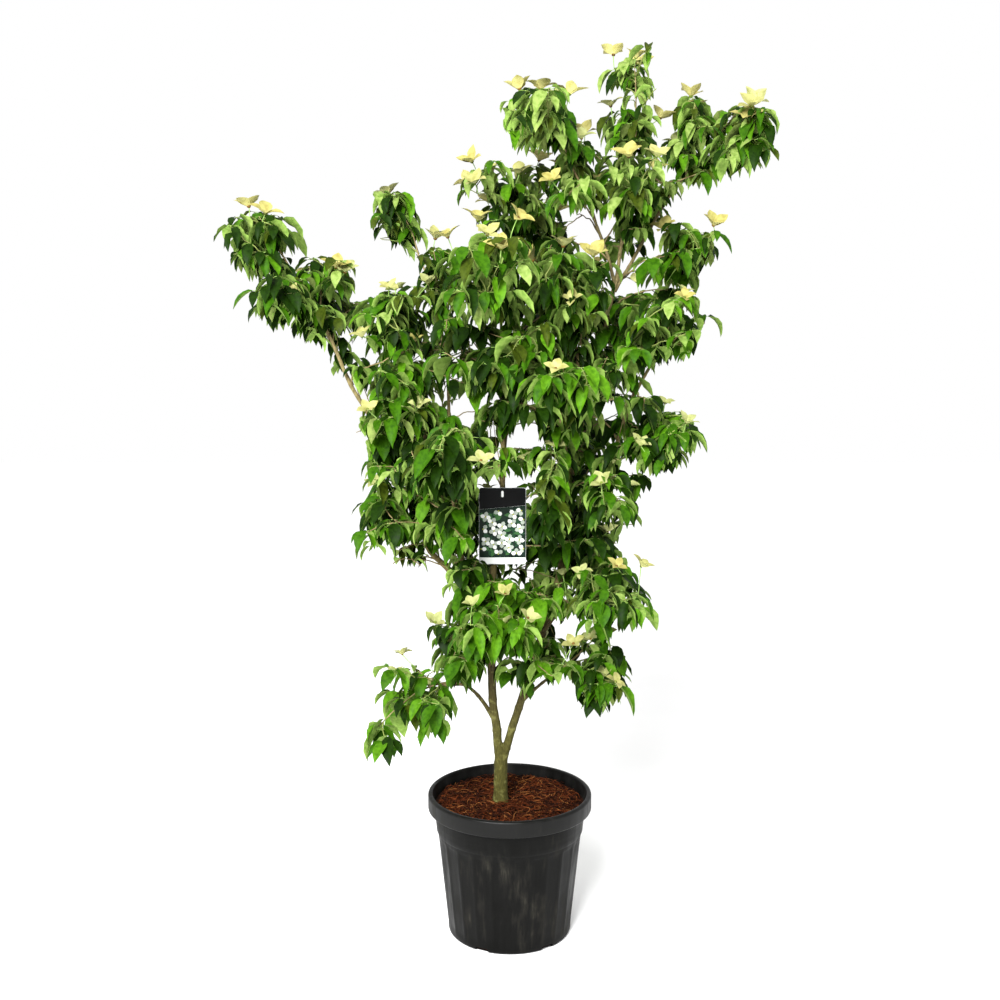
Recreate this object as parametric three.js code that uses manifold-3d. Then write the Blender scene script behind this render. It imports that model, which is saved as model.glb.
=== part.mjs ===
// A young kousa dogwood in flower, growing in a round nursery pot.
// Units are millimetres and +Z is up. The origin is the centre of the pot's flat underside,
// and the front of the plant faces -Y.
import * as THREE from "three";
import { mergeVertices } from "three/addons/utils/BufferGeometryUtils.js";
import Module from "manifold-3d";

const wasm = await Module();
wasm.setup();

// Clear space between neighbouring solids
const CLEARANCE = 0.3;
const CUT_CLEARANCE = 0.36;

// Pot: an injection moulded tub with a straight tapered body, a collar and a thick lip
const POT_HEIGHT = 335;
const POT_FOOT_RADIUS = 142;
const POT_BODY_TOP_HEIGHT = 229;
const POT_BODY_TOP_RADIUS = 166;
const POT_COLLAR_RADIUS = 172;
const POT_LIP_RADIUS = 189;
const POT_LIP_DEPTH = 38;
const POT_MOUTH_RADIUS = 178;
const POT_WALL = 3;
const POT_FLOOR = 3;
const POT_SEGMENTS = 36;
const NOTCH_COUNT = 4;
const NOTCH_FIRST_AZIMUTH = 47;
const NOTCH_WIDTH = 28;
const NOTCH_HEIGHT = 7;
const NOTCH_DEPTH = 9;

// Growing medium: fills the pot to a flat top below the lip
const MEDIUM_TOP = 310;

// Trunk: one short clean stem from the flat cut at the medium to the fork
const TRUNK_PATH = [[-21, 5, MEDIUM_TOP + CLEARANCE], [-21, 5, 364], [-20, 3, 416]];
const TRUNK_FOOT_RADIUS = 17;
const TRUNK_TOP_RADIUS = 15;
const ROOT_FLARE = 3;
const ROOT_FLARE_HEIGHT = 16;
const TRUNK_SIDES = 12;
const FORK_STUB = 50;
const FORK_GAP_SHARE = 0.001;

// Limbs, parents first. "leaves" is the height at which the limb comes out of its parent,
// "through" the points that it passes, "foot" and "tip" its radii.
const LIMBS = [
  {
    name: "left_leader", parent: "trunk", leaves: 396, foot: 11.5, tip: 4.6, sides: 8,
    through: [[-33, 0, 500], [-43, -10, 720], [-36, -20, 885], [-16, -30, 1045], [-20, -45, 1345]],
  },
  {
    name: "right_leader", parent: "trunk", leaves: 392, foot: 10, tip: 5.2, sides: 8,
    through: [
      [17, 10, 520], [72, 25, 695], [128, 30, 910], [150, 25, 1160], [189, 25, 1310], [235, 30, 1505],
    ],
  },
  {
    name: "top_left_bough", parent: "right_leader", leaves: 1492, foot: 3.8, tip: 3, sides: 6,
    through: [[204, 10, 1578], [172, -20, 1655]],
  },
  {
    name: "top_centre_bough", parent: "right_leader", leaves: 1500, foot: 4.2, tip: 3.2, sides: 6,
    through: [[246, 42, 1590], [260, 40, 1690]],
  },
  {
    name: "top_right_bough", parent: "right_leader", leaves: 1480, foot: 4.2, tip: 3.2, sides: 6,
    through: [[275, 45, 1560], [340, 60, 1670], [378, 70, 1722]],
  },
  {
    name: "right_limb", parent: "right_leader", leaves: 800, foot: 7, tip: 3.6, sides: 8,
    through: [[170, 10, 970], [222, -10, 1105], [263, -20, 1235], [330, -5, 1365]],
  },
  {
    name: "right_skirt_bough", parent: "right_leader", leaves: 705, foot: 4, tip: 3, sides: 6,
    through: [[112, -30, 768], [160, -75, 805]],
  },
  {
    name: "low_right_bough", parent: "right_leader", leaves: 545, foot: 4, tip: 3, sides: 6,
    through: [[76, -10, 599], [109, -30, 630]],
  },
  {
    name: "left_limb", parent: "left_leader", leaves: 690, foot: 8, tip: 4, sides: 8,
    through: [[-120, 10, 833], [-188, 20, 910], [-225, 25, 1050], [-310, 20, 1200], [-425, 5, 1430]],
  },
  {
    name: "left_inner_limb", parent: "left_leader", leaves: 735, foot: 6, tip: 3.6, sides: 6,
    through: [[-90, -40, 850], [-130, -62, 960], [-155, -68, 1055], [-188, -55, 1185]],
  },
  {
    name: "left_upper_bough", parent: "left_inner_limb", leaves: 1040, foot: 4.2, tip: 3, sides: 6,
    through: [[-137, -20, 1160], [-142, 35, 1300], [-152, 50, 1380]],
  },
  {
    name: "left_front_bough", parent: "left_inner_limb", leaves: 890, foot: 3.8, tip: 3, sides: 6,
    through: [[-115, -130, 975], [-120, -185, 1035]],
  },
  {
    name: "low_front_bough", parent: "left_leader", leaves: 620, foot: 3.6, tip: 2.8, sides: 6,
    through: [[-33, -60, 675], [-26, -108, 710]],
  },
  {
    name: "low_left_bough", parent: "left_leader", leaves: 505, foot: 4.6, tip: 3, sides: 6,
    through: [[-68, -10, 562], [-98, -20, 592], [-128, -28, 596]],
  },
  {
    name: "upper_centre_bough", parent: "left_leader", leaves: 1130, foot: 4.6, tip: 3.2, sides: 6,
    through: [[4, 40, 1260], [22, 100, 1415], [30, 118, 1530]],
  },
  {
    name: "front_bough", parent: "right_leader", leaves: 1055, foot: 4.2, tip: 3, sides: 6,
    through: [[122, -60, 1138], [108, -145, 1200]],
  },
  {
    name: "centre_right_bough", parent: "right_leader", leaves: 1215, foot: 3.8, tip: 3, sides: 6,
    through: [[152, -10, 1300], [142, -30, 1375]],
  },
  {
    name: "back_left_bough", parent: "left_leader", leaves: 770, foot: 5, tip: 3, sides: 6,
    through: [[-93, 115, 880], [-140, 215, 1020]],
  },
  {
    name: "back_right_bough", parent: "right_leader", leaves: 835, foot: 5, tip: 3, sides: 6,
    through: [[154, 135, 950], [190, 225, 1070]],
  },
];
const STEPS_PER_SPAN = 2;

// Masses of foliage. Each grows from the tip of its limb, or from the height "from" on it,
// and keeps to the ellipsoid about "centre" with the half sizes "reach".
const MASSES = [
  { name: "top_left", limb: "top_left_bough", centre: [50, -80, 1835], reach: [110, 150, 78] },
  {
    name: "top_left_inner", limb: "top_left_bough", from: 1625,
    centre: [133, -22, 1726], reach: [72, 110, 98],
  },
  { name: "top_centre", limb: "top_centre_bough", centre: [266, 20, 1868], reach: [74, 120, 132] },
  {
    name: "top_inner", limb: "top_centre_bough", from: 1625,
    centre: [250, -60, 1690], reach: [86, 110, 96],
  },
  { name: "top_right_inner", limb: "top_right_bough", centre: [400, 60, 1810], reach: [70, 120, 110] },
  {
    name: "top_right_tip", limb: "top_right_bough", from: 1690,
    centre: [492, -10, 1796], reach: [80, 130, 100],
  },
  { name: "right_upper", limb: "right_limb", centre: [399, 60, 1552], reach: [84, 140, 88] },
  {
    name: "right_shoulder", limb: "right_limb", from: 1325,
    centre: [311, -60, 1390], reach: [110, 150, 110],
  },
  { name: "right_mid", limb: "right_limb", from: 1060, centre: [330, -80, 1152], reach: [90, 150, 86] },
  { name: "right_low", limb: "right_limb", from: 960, centre: [225, -100, 1030], reach: [80, 120, 84] },
  { name: "right_skirt", limb: "right_skirt_bough", centre: [218, -110, 822], reach: [103, 170, 98] },
  { name: "low_right", limb: "low_right_bough", centre: [178, -50, 635], reach: [108, 140, 100] },
  { name: "centre_top", limb: "left_leader", centre: [-45, -150, 1510], reach: [110, 160, 120] },
  { name: "centre", limb: "left_leader", from: 1300, centre: [9, -140, 1330], reach: [105, 130, 95] },
  { name: "upper_centre", limb: "upper_centre_bough", centre: [7, 110, 1680], reach: [132, 150, 100] },
  { name: "centre_right", limb: "centre_right_bough", centre: [133, -40, 1473], reach: [95, 150, 112] },
  { name: "centre_front", limb: "front_bough", centre: [104, -230, 1280], reach: [95, 120, 84] },
  { name: "inner_low", limb: "front_bough", from: 1160, centre: [84, -130, 1045], reach: [64, 110, 135] },
  { name: "wing_tip", limb: "left_limb", centre: [-547, 20, 1573], reach: [86, 140, 94] },
  { name: "wing_low", limb: "left_limb", from: 1405, centre: [-495, -80, 1463], reach: [82, 120, 76] },
  { name: "wing_inner", limb: "left_limb", from: 1375, centre: [-410, 60, 1450], reach: [82, 140, 130] },
  {
    name: "lone_spray", limb: "left_upper_bough", from: 1340,
    centre: [-267, 140, 1633], reach: [78, 110, 92],
  },
  { name: "left_upper", limb: "left_upper_bough", centre: [-172, 60, 1482], reach: [82, 150, 124] },
  { name: "left_shoulder", limb: "left_inner_limb", centre: [-258, -20, 1414], reach: [92, 150, 88] },
  {
    name: "left_mid", limb: "left_inner_limb", from: 1150,
    centre: [-233, -95, 1262], reach: [92, 150, 98],
  },
  { name: "left_front", limb: "left_front_bough", centre: [-132, -250, 1150], reach: [86, 120, 92] },
  { name: "left_low", limb: "left_limb", from: 935, centre: [-268, 0, 973], reach: [84, 130, 96] },
  { name: "left_side", limb: "left_limb", from: 1080, centre: [-300, 10, 1140], reach: [74, 130, 88] },
  {
    name: "left_inner_low", limb: "left_inner_limb", from: 900,
    centre: [-135, -50, 985], reach: [84, 110, 96],
  },
  { name: "low_front", limb: "low_front_bough", centre: [-33, -170, 760], reach: [98, 110, 86] },
  {
    name: "low_left_upper", limb: "low_left_bough", from: 585,
    centre: [-130, 40, 660], reach: [66, 120, 82],
  },
  { name: "low_left", limb: "low_left_bough", centre: [-210, -50, 570], reach: [92, 120, 100] },
  {
    name: "low_left_tip", limb: "low_left_bough", from: 591,
    centre: [-297, -110, 469], reach: [73, 95, 74],
  },
  { name: "back_left", limb: "back_left_bough", centre: [-167, 280, 1217], reach: [160, 150, 215] },
  { name: "back_right", limb: "back_right_bough", centre: [220, 290, 1216], reach: [150, 150, 215] },
  {
    name: "back_top", limb: "upper_centre_bough", from: 1470,
    centre: [119, 260, 1526], reach: [110, 140, 140],
  },
  {
    name: "back_low", limb: "back_right_bough", from: 930,
    centre: [123, 240, 831], reach: [145, 140, 150],
  },
];

// Seeds of the masses' draws
const FIRST_SEED = 607;
const SEED_STEP = 17;

// Twigs: one stem in each mass, and shoots that branch from it
const STEM_FOOT_RADIUS = 3.2;
const STEM_END_RADIUS = 2.4;
const STEM_SPANS = 3;
const STEM_BEND = 0.45;
const STEM_END_SHARE = 0.8;
const STEM_END_SIDESTEP = 0.5;
const SHOOT_RADIUS = 2;
const SHOOT_SPANS = 1;
const SHOOT_NECK = 8;
const SHOOT_LEAVES_STEM = [0.3, 0.92];
const SHOOT_RISE = 0.5;
const SHOOT_RISE_FROM = 0.7;
const SHOOT_CHECKS = [0.4, 0.6, 0.8, 1];
const SHOOT_ATTEMPTS = 120;
const SHOOTS_AT_MOST = 7;
const MASS_SIZE_PER_SHOOT = 44;
const ENDS_APART = 60;

// Room that a shoot's end keeps inside its mass for the leaves and the blossom on it
const ROOM_AROUND = 30;
const ROOM_ABOVE = 4;
const ROOM_BELOW = 72;
const LEAST_ROOM = 12;

// Leaves: long pointed ovals in opposite pairs at the shoots' ends, hanging like an umbrella
const LEAF_LENGTH = 124;
const LEAF_WIDTH = 82;
const LEAF_THICKNESS = 5;
const LEAF_ARCH = 0.16;
const LEAF_WIDEST = 0.42;
const LEAF_ROOT = 0.6;
const LEAF_DROOP = 0.65;
const LEAF_DROOP_RANGE = 0.3;
const LEAF_TURN_RANGE = 0.3;
const LEAF_LEAST_SIZE = 0.85;
const LEAF_SIZE_RANGE = 0.25;
const LEAF_PAIRS = [
  { below: 8, azimuth: 2 },
  { below: 22, azimuth: 1 },
];
const ROOT_VOLUME = 12;

// Where a leaf doesn't fit it is tried again, steeper or flatter and smaller
const LEAF_TRIES = [[0, 1], [0.35, 1], [0, 0.8], [0.4, 0.8], [-0.4, 0.8], [0.6, 0.7]];

// Blossom: four pointed bracts that stand over the leaves on a stalk
const BRACT_REACH = 38;
const BRACT_NOTCH = 12;
const BRACT_CUP = 9;
const BLOSSOM_THICKNESS = 5;
const STALK_HEIGHT = 36;
const STALK_RADIUS = 1.8;
const STALK_LEAN = 14;
const BLOSSOM_SHARE = 0.5;

// A mass's space is a rounded box. Foliage keeps inside it, to its own side and off limbs.
const SPACE_POWER = 3;
const SPACE_EDGE = 1.15;
const SPACE_MARGIN = -0.15;
const TOUCH_MARGIN = 1.5;

// Name tag: a card that hangs from the left leader by its own loop
const TAG_WIDTH = 104;
const TAG_HEIGHT = 172;
const TAG_THICKNESS = 1;
const TAG_HANG_HEIGHT = 1046;
const TAG_TOP_ABOVE_LOOP = 6;
const TAG_LOOP_WIDTH = 8;
const TAG_LOOP_THICKNESS = 2.5;
const TAG_SIDESTEP = -1;

// Colours
const BARK = new THREE.MeshStandardMaterial({ color: 0x6e6940, roughness: 0.85 });
const FOLIAGE = new THREE.MeshStandardMaterial({ color: 0x3f8a1e, roughness: 0.6 });
const POT_BLACK = new THREE.MeshStandardMaterial({ color: 0x1d1e1d, roughness: 0.55 });
const COIR = new THREE.MeshStandardMaterial({ color: 0x6b3114, roughness: 0.95 });
const CARD = new THREE.MeshStandardMaterial({ color: 0xe8ebe4, roughness: 0.5 });

// Seeded draws from 0 to 1, the same on every run
function seededDraw(seed) {
  let state = seed;
  return () => {
    state = (Math.imul(1664525, state) + 1013904223) >>> 0;
    return state / 4294967296;
  };
}

function solid(geometry) {
  geometry.deleteAttribute("normal");
  geometry.deleteAttribute("uv");
  const merged = mergeVertices(geometry);
  const vertProperties = Float32Array.from(merged.attributes.position.array);
  const triVerts = Uint32Array.from(merged.index.array);
  return new wasm.Manifold(new wasm.Mesh({ numProp: 3, vertProperties, triVerts }));
}

function node(name, body, material) {
  const { vertProperties, triVerts } = body.getMesh();
  const geometry = new THREE.BufferGeometry();
  geometry.setAttribute("position", new THREE.BufferAttribute(Float32Array.from(vertProperties), 3));
  geometry.setIndex(new THREE.BufferAttribute(Uint32Array.from(triVerts), 1));
  geometry.computeVertexNormals();
  const mesh = new THREE.Mesh(geometry, material.clone());
  mesh.name = name;
  return mesh;
}

// The largest of a cut solid's pieces
function largestPiece(body) {
  const pieces = body.decompose();
  return pieces.reduce((best, piece) => (piece.volume() > best.volume() ? piece : best));
}

function curveThrough(points) {
  const vectors = points.map((point) => new THREE.Vector3(...point));
  return new THREE.CatmullRomCurve3(vectors, false, "catmullrom", 0.5);
}

// The place along a rising curve where it passes a height
function shareAtHeight(curve, height) {
  let low = 0;
  let high = 1;
  for (let round = 0; round < 30; round += 1) {
    const middle = (low + high) / 2;
    if (curve.getPoint(middle).z < height) {
      low = middle;
    } else {
      high = middle;
    }
  }
  return (low + high) / 2;
}

// A place on a twig's last straight span, a distance below its end
function belowEnd(curve, spans, distance) {
  const end = curve.getPoint(1);
  const before = curve.getPoint(1 - 1 / spans);
  return end.addScaledVector(before.sub(end).normalize(), distance);
}

const DIRECTION_STEP = 0.01;

function directionAt(curve, share) {
  const before = curve.getPoint(Math.max(0, share - DIRECTION_STEP));
  const after = curve.getPoint(Math.min(1, share + DIRECTION_STEP));
  return after.sub(before).normalize();
}

// A closed tube along a curve from one share of it to another, with a radius for each share
function tube(curve, from, to, radiusAt, sides, steps) {
  const geometry = new THREE.CylinderGeometry(1, 1, 1, sides, steps);
  const chord = curve.getPoint(to).sub(curve.getPoint(from));
  const flattest = Math.abs(chord.x) < Math.abs(chord.y) ? "x" : "y";
  const reference = new THREE.Vector3();
  reference[flattest] = 1;
  const position = geometry.attributes.position;
  for (let index = 0; index < position.count; index += 1) {
    const share = from + (to - from) * (position.getY(index) + 0.5);
    const along = directionAt(curve, share);
    const across = new THREE.Vector3().crossVectors(along, reference).normalize();
    const outward = new THREE.Vector3().crossVectors(across, along);
    const radius = radiusAt(share);
    const point = curve.getPoint(share)
      .addScaledVector(across, position.getX(index) * radius)
      .addScaledVector(outward, position.getZ(index) * radius);
    position.setXYZ(index, point.x, point.y, point.z);
  }
  return solid(geometry);
}

function radiusBetween(foot, tip) {
  return (share) => foot + (tip - foot) * share;
}

function grown(radiusAt) {
  return (share) => radiusAt(share) + CUT_CLEARANCE;
}

// Pot

function potWallRadius(height) {
  const share = height / POT_BODY_TOP_HEIGHT;
  return POT_FOOT_RADIUS + (POT_BODY_TOP_RADIUS - POT_FOOT_RADIUS) * share;
}

function lathe(profile) {
  const points = profile.map(([radius, height]) => new THREE.Vector2(radius, height));
  const geometry = new THREE.LatheGeometry(points, POT_SEGMENTS);
  return solid(geometry.rotateX(Math.PI / 2));
}

const STEP_TOP_HEIGHT = POT_BODY_TOP_HEIGHT + 14;
const COLLAR_LOW_HEIGHT = POT_BODY_TOP_HEIGHT + 30;
const LIP_LOW_HEIGHT = POT_HEIGHT - POT_LIP_DEPTH;
const COLLAR_TOP_HEIGHT = LIP_LOW_HEIGHT - 5;

function potInnerProfile() {
  return [
    [potWallRadius(POT_FLOOR) - POT_WALL - 3, POT_FLOOR],
    [potWallRadius(POT_BODY_TOP_HEIGHT) - POT_WALL, POT_BODY_TOP_HEIGHT],
    [POT_COLLAR_RADIUS - POT_WALL, COLLAR_LOW_HEIGHT],
    [POT_COLLAR_RADIUS - POT_WALL, COLLAR_TOP_HEIGHT],
    [POT_MOUTH_RADIUS, POT_HEIGHT - 4],
  ];
}

function makePot() {
  const outer = [
    [0, 0],
    [POT_FOOT_RADIUS - 9, 0],
    [POT_FOOT_RADIUS - 2, 2],
    [potWallRadius(8), 8],
    [POT_BODY_TOP_RADIUS, POT_BODY_TOP_HEIGHT],
    [POT_COLLAR_RADIUS - 3, STEP_TOP_HEIGHT],
    [POT_COLLAR_RADIUS, COLLAR_LOW_HEIGHT],
    [POT_COLLAR_RADIUS, COLLAR_TOP_HEIGHT],
    [POT_LIP_RADIUS - 3, LIP_LOW_HEIGHT],
    [POT_LIP_RADIUS, LIP_LOW_HEIGHT + 3],
    [POT_LIP_RADIUS, POT_HEIGHT - 5],
    [POT_LIP_RADIUS - 5, POT_HEIGHT],
    [POT_MOUTH_RADIUS + 2, POT_HEIGHT],
  ];
  const inner = potInnerProfile().reverse();
  let body = lathe([...outer, ...inner, [0, POT_FLOOR]]);
  for (let index = 0; index < NOTCH_COUNT; index += 1) {
    const azimuth = THREE.MathUtils.degToRad(NOTCH_FIRST_AZIMUTH + (360 / NOTCH_COUNT) * index);
    const cutter = new THREE.BoxGeometry(2 * NOTCH_DEPTH, NOTCH_WIDTH, 2 * NOTCH_HEIGHT);
    cutter.translate(POT_FOOT_RADIUS, 0, 0);
    cutter.rotateZ(azimuth);
    body = body.subtract(solid(cutter));
  }
  return body;
}

// The share of the way up one span of a profile, as a radius
function profileRadius(profile, height) {
  const top = profile.findIndex((point) => point[1] >= height);
  const [lowRadius, lowHeight] = profile[top - 1];
  const [highRadius, highHeight] = profile[top];
  return lowRadius + (highRadius - lowRadius) * ((height - lowHeight) / (highHeight - lowHeight));
}

function makeGrowingMedium() {
  const wall = potInnerProfile();
  const below = wall.filter((point) => point[1] < MEDIUM_TOP);
  const side = below.map(([radius, height]) => [radius - 2 * CLEARANCE, height]);
  side[0][1] += CLEARANCE;
  side.push([profileRadius(wall, MEDIUM_TOP) - 2 * CLEARANCE, MEDIUM_TOP]);
  return lathe([[0, POT_FLOOR + CLEARANCE], ...side, [0, MEDIUM_TOP]]);
}

function seedOf(index) {
  return FIRST_SEED + SEED_STEP * index;
}

// Limbs

const trunkCurve = curveThrough(TRUNK_PATH);

function trunkRadius(share) {
  const height = trunkCurve.getPoint(share).z - MEDIUM_TOP;
  const flare = ROOT_FLARE * Math.max(0, 1 - height / ROOT_FLARE_HEIGHT);
  return TRUNK_FOOT_RADIUS + (TRUNK_TOP_RADIUS - TRUNK_FOOT_RADIUS) * share + flare;
}

const curves = { trunk: trunkCurve };
for (const limb of LIMBS) {
  const parent = curves[limb.parent];
  const start = parent.getPoint(shareAtHeight(parent, limb.leaves));
  curves[limb.name] = curveThrough([start.toArray(), ...limb.through]);
}

// The leaders start where the trunk's fork ends
function firstShare(limb) {
  return limb.parent === "trunk" ? shareAtHeight(curves[limb.name], limb.leaves + FORK_STUB) : 0;
}

function makeTrunk() {
  let body = tube(trunkCurve, 0, 1, trunkRadius, TRUNK_SIDES, 4);
  for (const limb of LIMBS.filter((each) => each.parent === "trunk")) {
    const curve = curves[limb.name];
    const share = firstShare(limb);
    const stub = tube(curve, 0, share - FORK_GAP_SHARE, radiusBetween(limb.foot, limb.tip), TRUNK_SIDES, 3);
    body = body.add(stub);
  }
  return body;
}

function limbTube(limb, grow) {
  const curve = curves[limb.name];
  const steps = STEPS_PER_SPAN * limb.through.length;
  const radiusAt = radiusBetween(limb.foot, limb.tip);
  return tube(curve, firstShare(limb), 1, grow ? grown(radiusAt) : radiusAt, limb.sides, steps);
}

// Every limb is cut clear of the limbs before it
function makeLimbs() {
  const limbs = [];
  const taken = [];
  for (const limb of LIMBS) {
    let body = limbTube(limb, false);
    for (const earlier of taken) {
      if (touchesAny(body, [earlier])) {
        body = body.subtract(earlier);
      }
    }
    limbs.push({ name: limb.name, body: largestPiece(body) });
    taken.push(limbTube(limb, true));
  }
  return { limbs, taken };
}

// Stems

// How many shoots a mass has, its stem counted
function shootCount(mass) {
  const size = Math.cbrt(mass.reach[0] * mass.reach[1] * mass.reach[2]) / MASS_SIZE_PER_SHOOT;
  return Math.min(SHOOTS_AT_MOST, Math.max(2, Math.round(size * size)));
}

// A place for a shoot's end, from shares of -1 to 1 along X and Y and of 0 to 1 up
function endAt(mass, shareX, shareY, shareZ) {
  const [sizeX, sizeY, sizeZ] = mass.reach;
  const low = Math.min(ROOM_BELOW - sizeZ, sizeZ - ROOM_ABOVE - LEAST_ROOM);
  const high = sizeZ - ROOM_ABOVE;
  return new THREE.Vector3(
    mass.centre[0] + Math.max(LEAST_ROOM, sizeX - ROOM_AROUND) * shareX,
    mass.centre[1] + Math.max(LEAST_ROOM, sizeY - ROOM_AROUND) * shareY,
    mass.centre[2] + low + (high - low) * shareZ,
  );
}

// A stem runs on from its limb and bends up to the mass's highest end
function stemCurve(mass, draw) {
  const limb = curves[mass.limb];
  const share = mass.from === undefined ? 1 : shareAtHeight(limb, mass.from);
  const foot = limb.getPoint(share);
  const aside = () => STEM_END_SIDESTEP * (draw() - 0.5);
  const end = endAt(mass, aside(), aside(), STEM_END_SHARE);
  const along = directionAt(limb, share);
  const bend = foot.clone().addScaledVector(along, STEM_BEND * end.distanceTo(foot));
  if (mass.from === undefined) {
    foot.addScaledVector(along, CLEARANCE);
  }
  return new THREE.QuadraticBezierCurve3(foot, bend, end);
}

// What foliage keeps clear of: the centre lines of limbs and stems as short spans
function spansOf(curve, radiusAt, owner, count) {
  const spans = [];
  for (let index = 0; index < count; index += 1) {
    const start = curve.getPoint(index / count);
    const end = curve.getPoint((index + 1) / count);
    spans.push({ line: new THREE.Line3(start, end), radius: radiusAt(index / count), owner });
  }
  return spans;
}

const stems = {};
MASSES.forEach((mass, index) => {
  stems[mass.name] = stemCurve(mass, seededDraw(seedOf(index)));
});
const stemRadius = radiusBetween(STEM_FOOT_RADIUS, STEM_END_RADIUS);
const obstacles = [
  ...spansOf(trunkCurve, trunkRadius, "trunk", 4),
  ...LIMBS.flatMap((limb) => {
    const radiusAt = radiusBetween(limb.foot, limb.tip);
    return spansOf(curves[limb.name], radiusAt, limb.name, 6 * limb.through.length);
  }),
  ...MASSES.flatMap((mass) => spansOf(stems[mass.name], stemRadius, mass.name, 6)),
];

// How far out in its rounded box a point lies: 0 at the centre, 1 on the surface
function depthIn(mass, point) {
  const x = Math.abs(point.x - mass.centre[0]) / mass.reach[0];
  const y = Math.abs(point.y - mass.centre[1]) / mass.reach[1];
  const z = Math.abs(point.z - mass.centre[2]) / mass.reach[2];
  return (x ** SPACE_POWER + y ** SPACE_POWER + z ** SPACE_POWER) ** (1 / SPACE_POWER);
}

// A mass keeps the points that lie deeper in it than in any other mass
function inOwnSpace(mass, point) {
  const depth = depthIn(mass, point);
  if (depth > SPACE_EDGE) {
    return false;
  }
  return MASSES.every((other) => other === mass || depthIn(other, point) > depth + SPACE_MARGIN);
}

function clearOfLimbs(mass, point) {
  const nearest = new THREE.Vector3();
  return obstacles.every((span) => {
    if (span.owner === mass.name) {
      return true;
    }
    span.line.closestPointToPoint(point, true, nearest);
    return nearest.distanceTo(point) > span.radius + TOUCH_MARGIN;
  });
}

function fits(mass, points) {
  return points.every((point) => inOwnSpace(mass, point) && clearOfLimbs(mass, point));
}

// Growth

// A shoot leaves its mass's stem below its own end and runs straight to it
function shootTo(stem, end) {
  const nearest = stem.getPoint(SHOOT_RISE_FROM);
  const rise = SHOOT_RISE * Math.hypot(end.x - nearest.x, end.y - nearest.y);
  const [least, most] = SHOOT_LEAVES_STEM;
  const share = Math.min(most, Math.max(least, shareAtHeight(stem, end.z - rise)));
  return new THREE.LineCurve3(stem.getPoint(share), end);
}

// The shoots of one mass end in seeded places that lie apart
function shootsOf(mass, draw) {
  const stem = stems[mass.name];
  const ends = [stem.getPoint(1)];
  const shoots = [];
  for (let attempt = 0; attempt < SHOOT_ATTEMPTS && ends.length < shootCount(mass); attempt += 1) {
    const end = endAt(mass, 2 * draw() - 1, 2 * draw() - 1, draw());
    const shoot = shootTo(stem, end);
    const checks = SHOOT_CHECKS.map((share) => shoot.getPoint(share));
    if (ends.every((other) => other.distanceTo(end) > ENDS_APART) && fits(mass, checks)) {
      ends.push(end);
      shoots.push(shoot);
    }
  }
  return shoots;
}

// The frame of a leaf that leaves a point at an azimuth and hangs by a slope
function leafFrame(base, azimuth, slope) {
  const out = new THREE.Vector3(Math.cos(azimuth), Math.sin(azimuth), 0);
  const along = out.clone().multiplyScalar(Math.cos(slope));
  along.z = -Math.sin(slope);
  const up = out.clone().multiplyScalar(Math.sin(slope));
  up.z = Math.cos(slope);
  const side = new THREE.Vector3().crossVectors(along, up);
  return (forward, sideways, upward) => base.clone()
    .addScaledVector(along, forward)
    .addScaledVector(side, sideways)
    .addScaledVector(up, upward);
}

// A leaf's root and point, and the ring about its widest place: the rib above and the two edges
function leafCorners(root, azimuth, slope, size) {
  const place = leafFrame(root, azimuth, slope);
  const length = LEAF_LENGTH * size;
  const arch = LEAF_ARCH * length;
  return {
    root: place(-LEAF_ROOT, 0, 0),
    point: place(length, 0, -arch),
    ring: [
      place(LEAF_WIDEST * length, 0, arch + LEAF_THICKNESS),
      place(LEAF_WIDEST * length, (LEAF_WIDTH * size) / 2, arch),
      place(LEAF_WIDEST * length, (-LEAF_WIDTH * size) / 2, arch),
    ],
  };
}

// A closed three sided skin from a root over rings of three points to a point
function skin(root, rings, point) {
  const geometry = new THREE.SphereGeometry(1, 3, rings.length + 1, Math.PI / 2);
  const position = geometry.attributes.position;
  for (let index = 0; index < position.count; index += 1) {
    const [x, y, z] = [position.getX(index), position.getY(index), position.getZ(index)];
    const level = Math.round((1 - Math.acos(y) / Math.PI) * (rings.length + 1));
    let corner = level === 0 ? root : point;
    if (level > 0 && level <= rings.length) {
      const ring = rings[level - 1];
      corner = z > Math.abs(x) ? ring[0] : ring[x > 0 ? 1 : 2];
    }
    position.setXYZ(index, corner.x, corner.y, corner.z);
  }
  return solid(geometry);
}

// A shoot is a three sided twig that starts in its stem and runs out into its end leaf
function shootSolid(curve, shares, radiusAt, corners, side) {
  const rings = shares.map((share) => {
    const along = directionAt(curve, share);
    const across = side.clone().addScaledVector(along, -side.dot(along)).normalize();
    const outward = new THREE.Vector3().crossVectors(across, along);
    return [0, 1, 2].map((corner) => {
      const angle = (corner * 2 * Math.PI) / 3;
      return curve.getPoint(share)
        .addScaledVector(across, radiusAt(share) * Math.sin(angle))
        .addScaledVector(outward, radiusAt(share) * Math.cos(angle));
    });
  });
  return skin(curve.getPoint(0), [...rings, corners.ring], corners.point);
}

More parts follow.
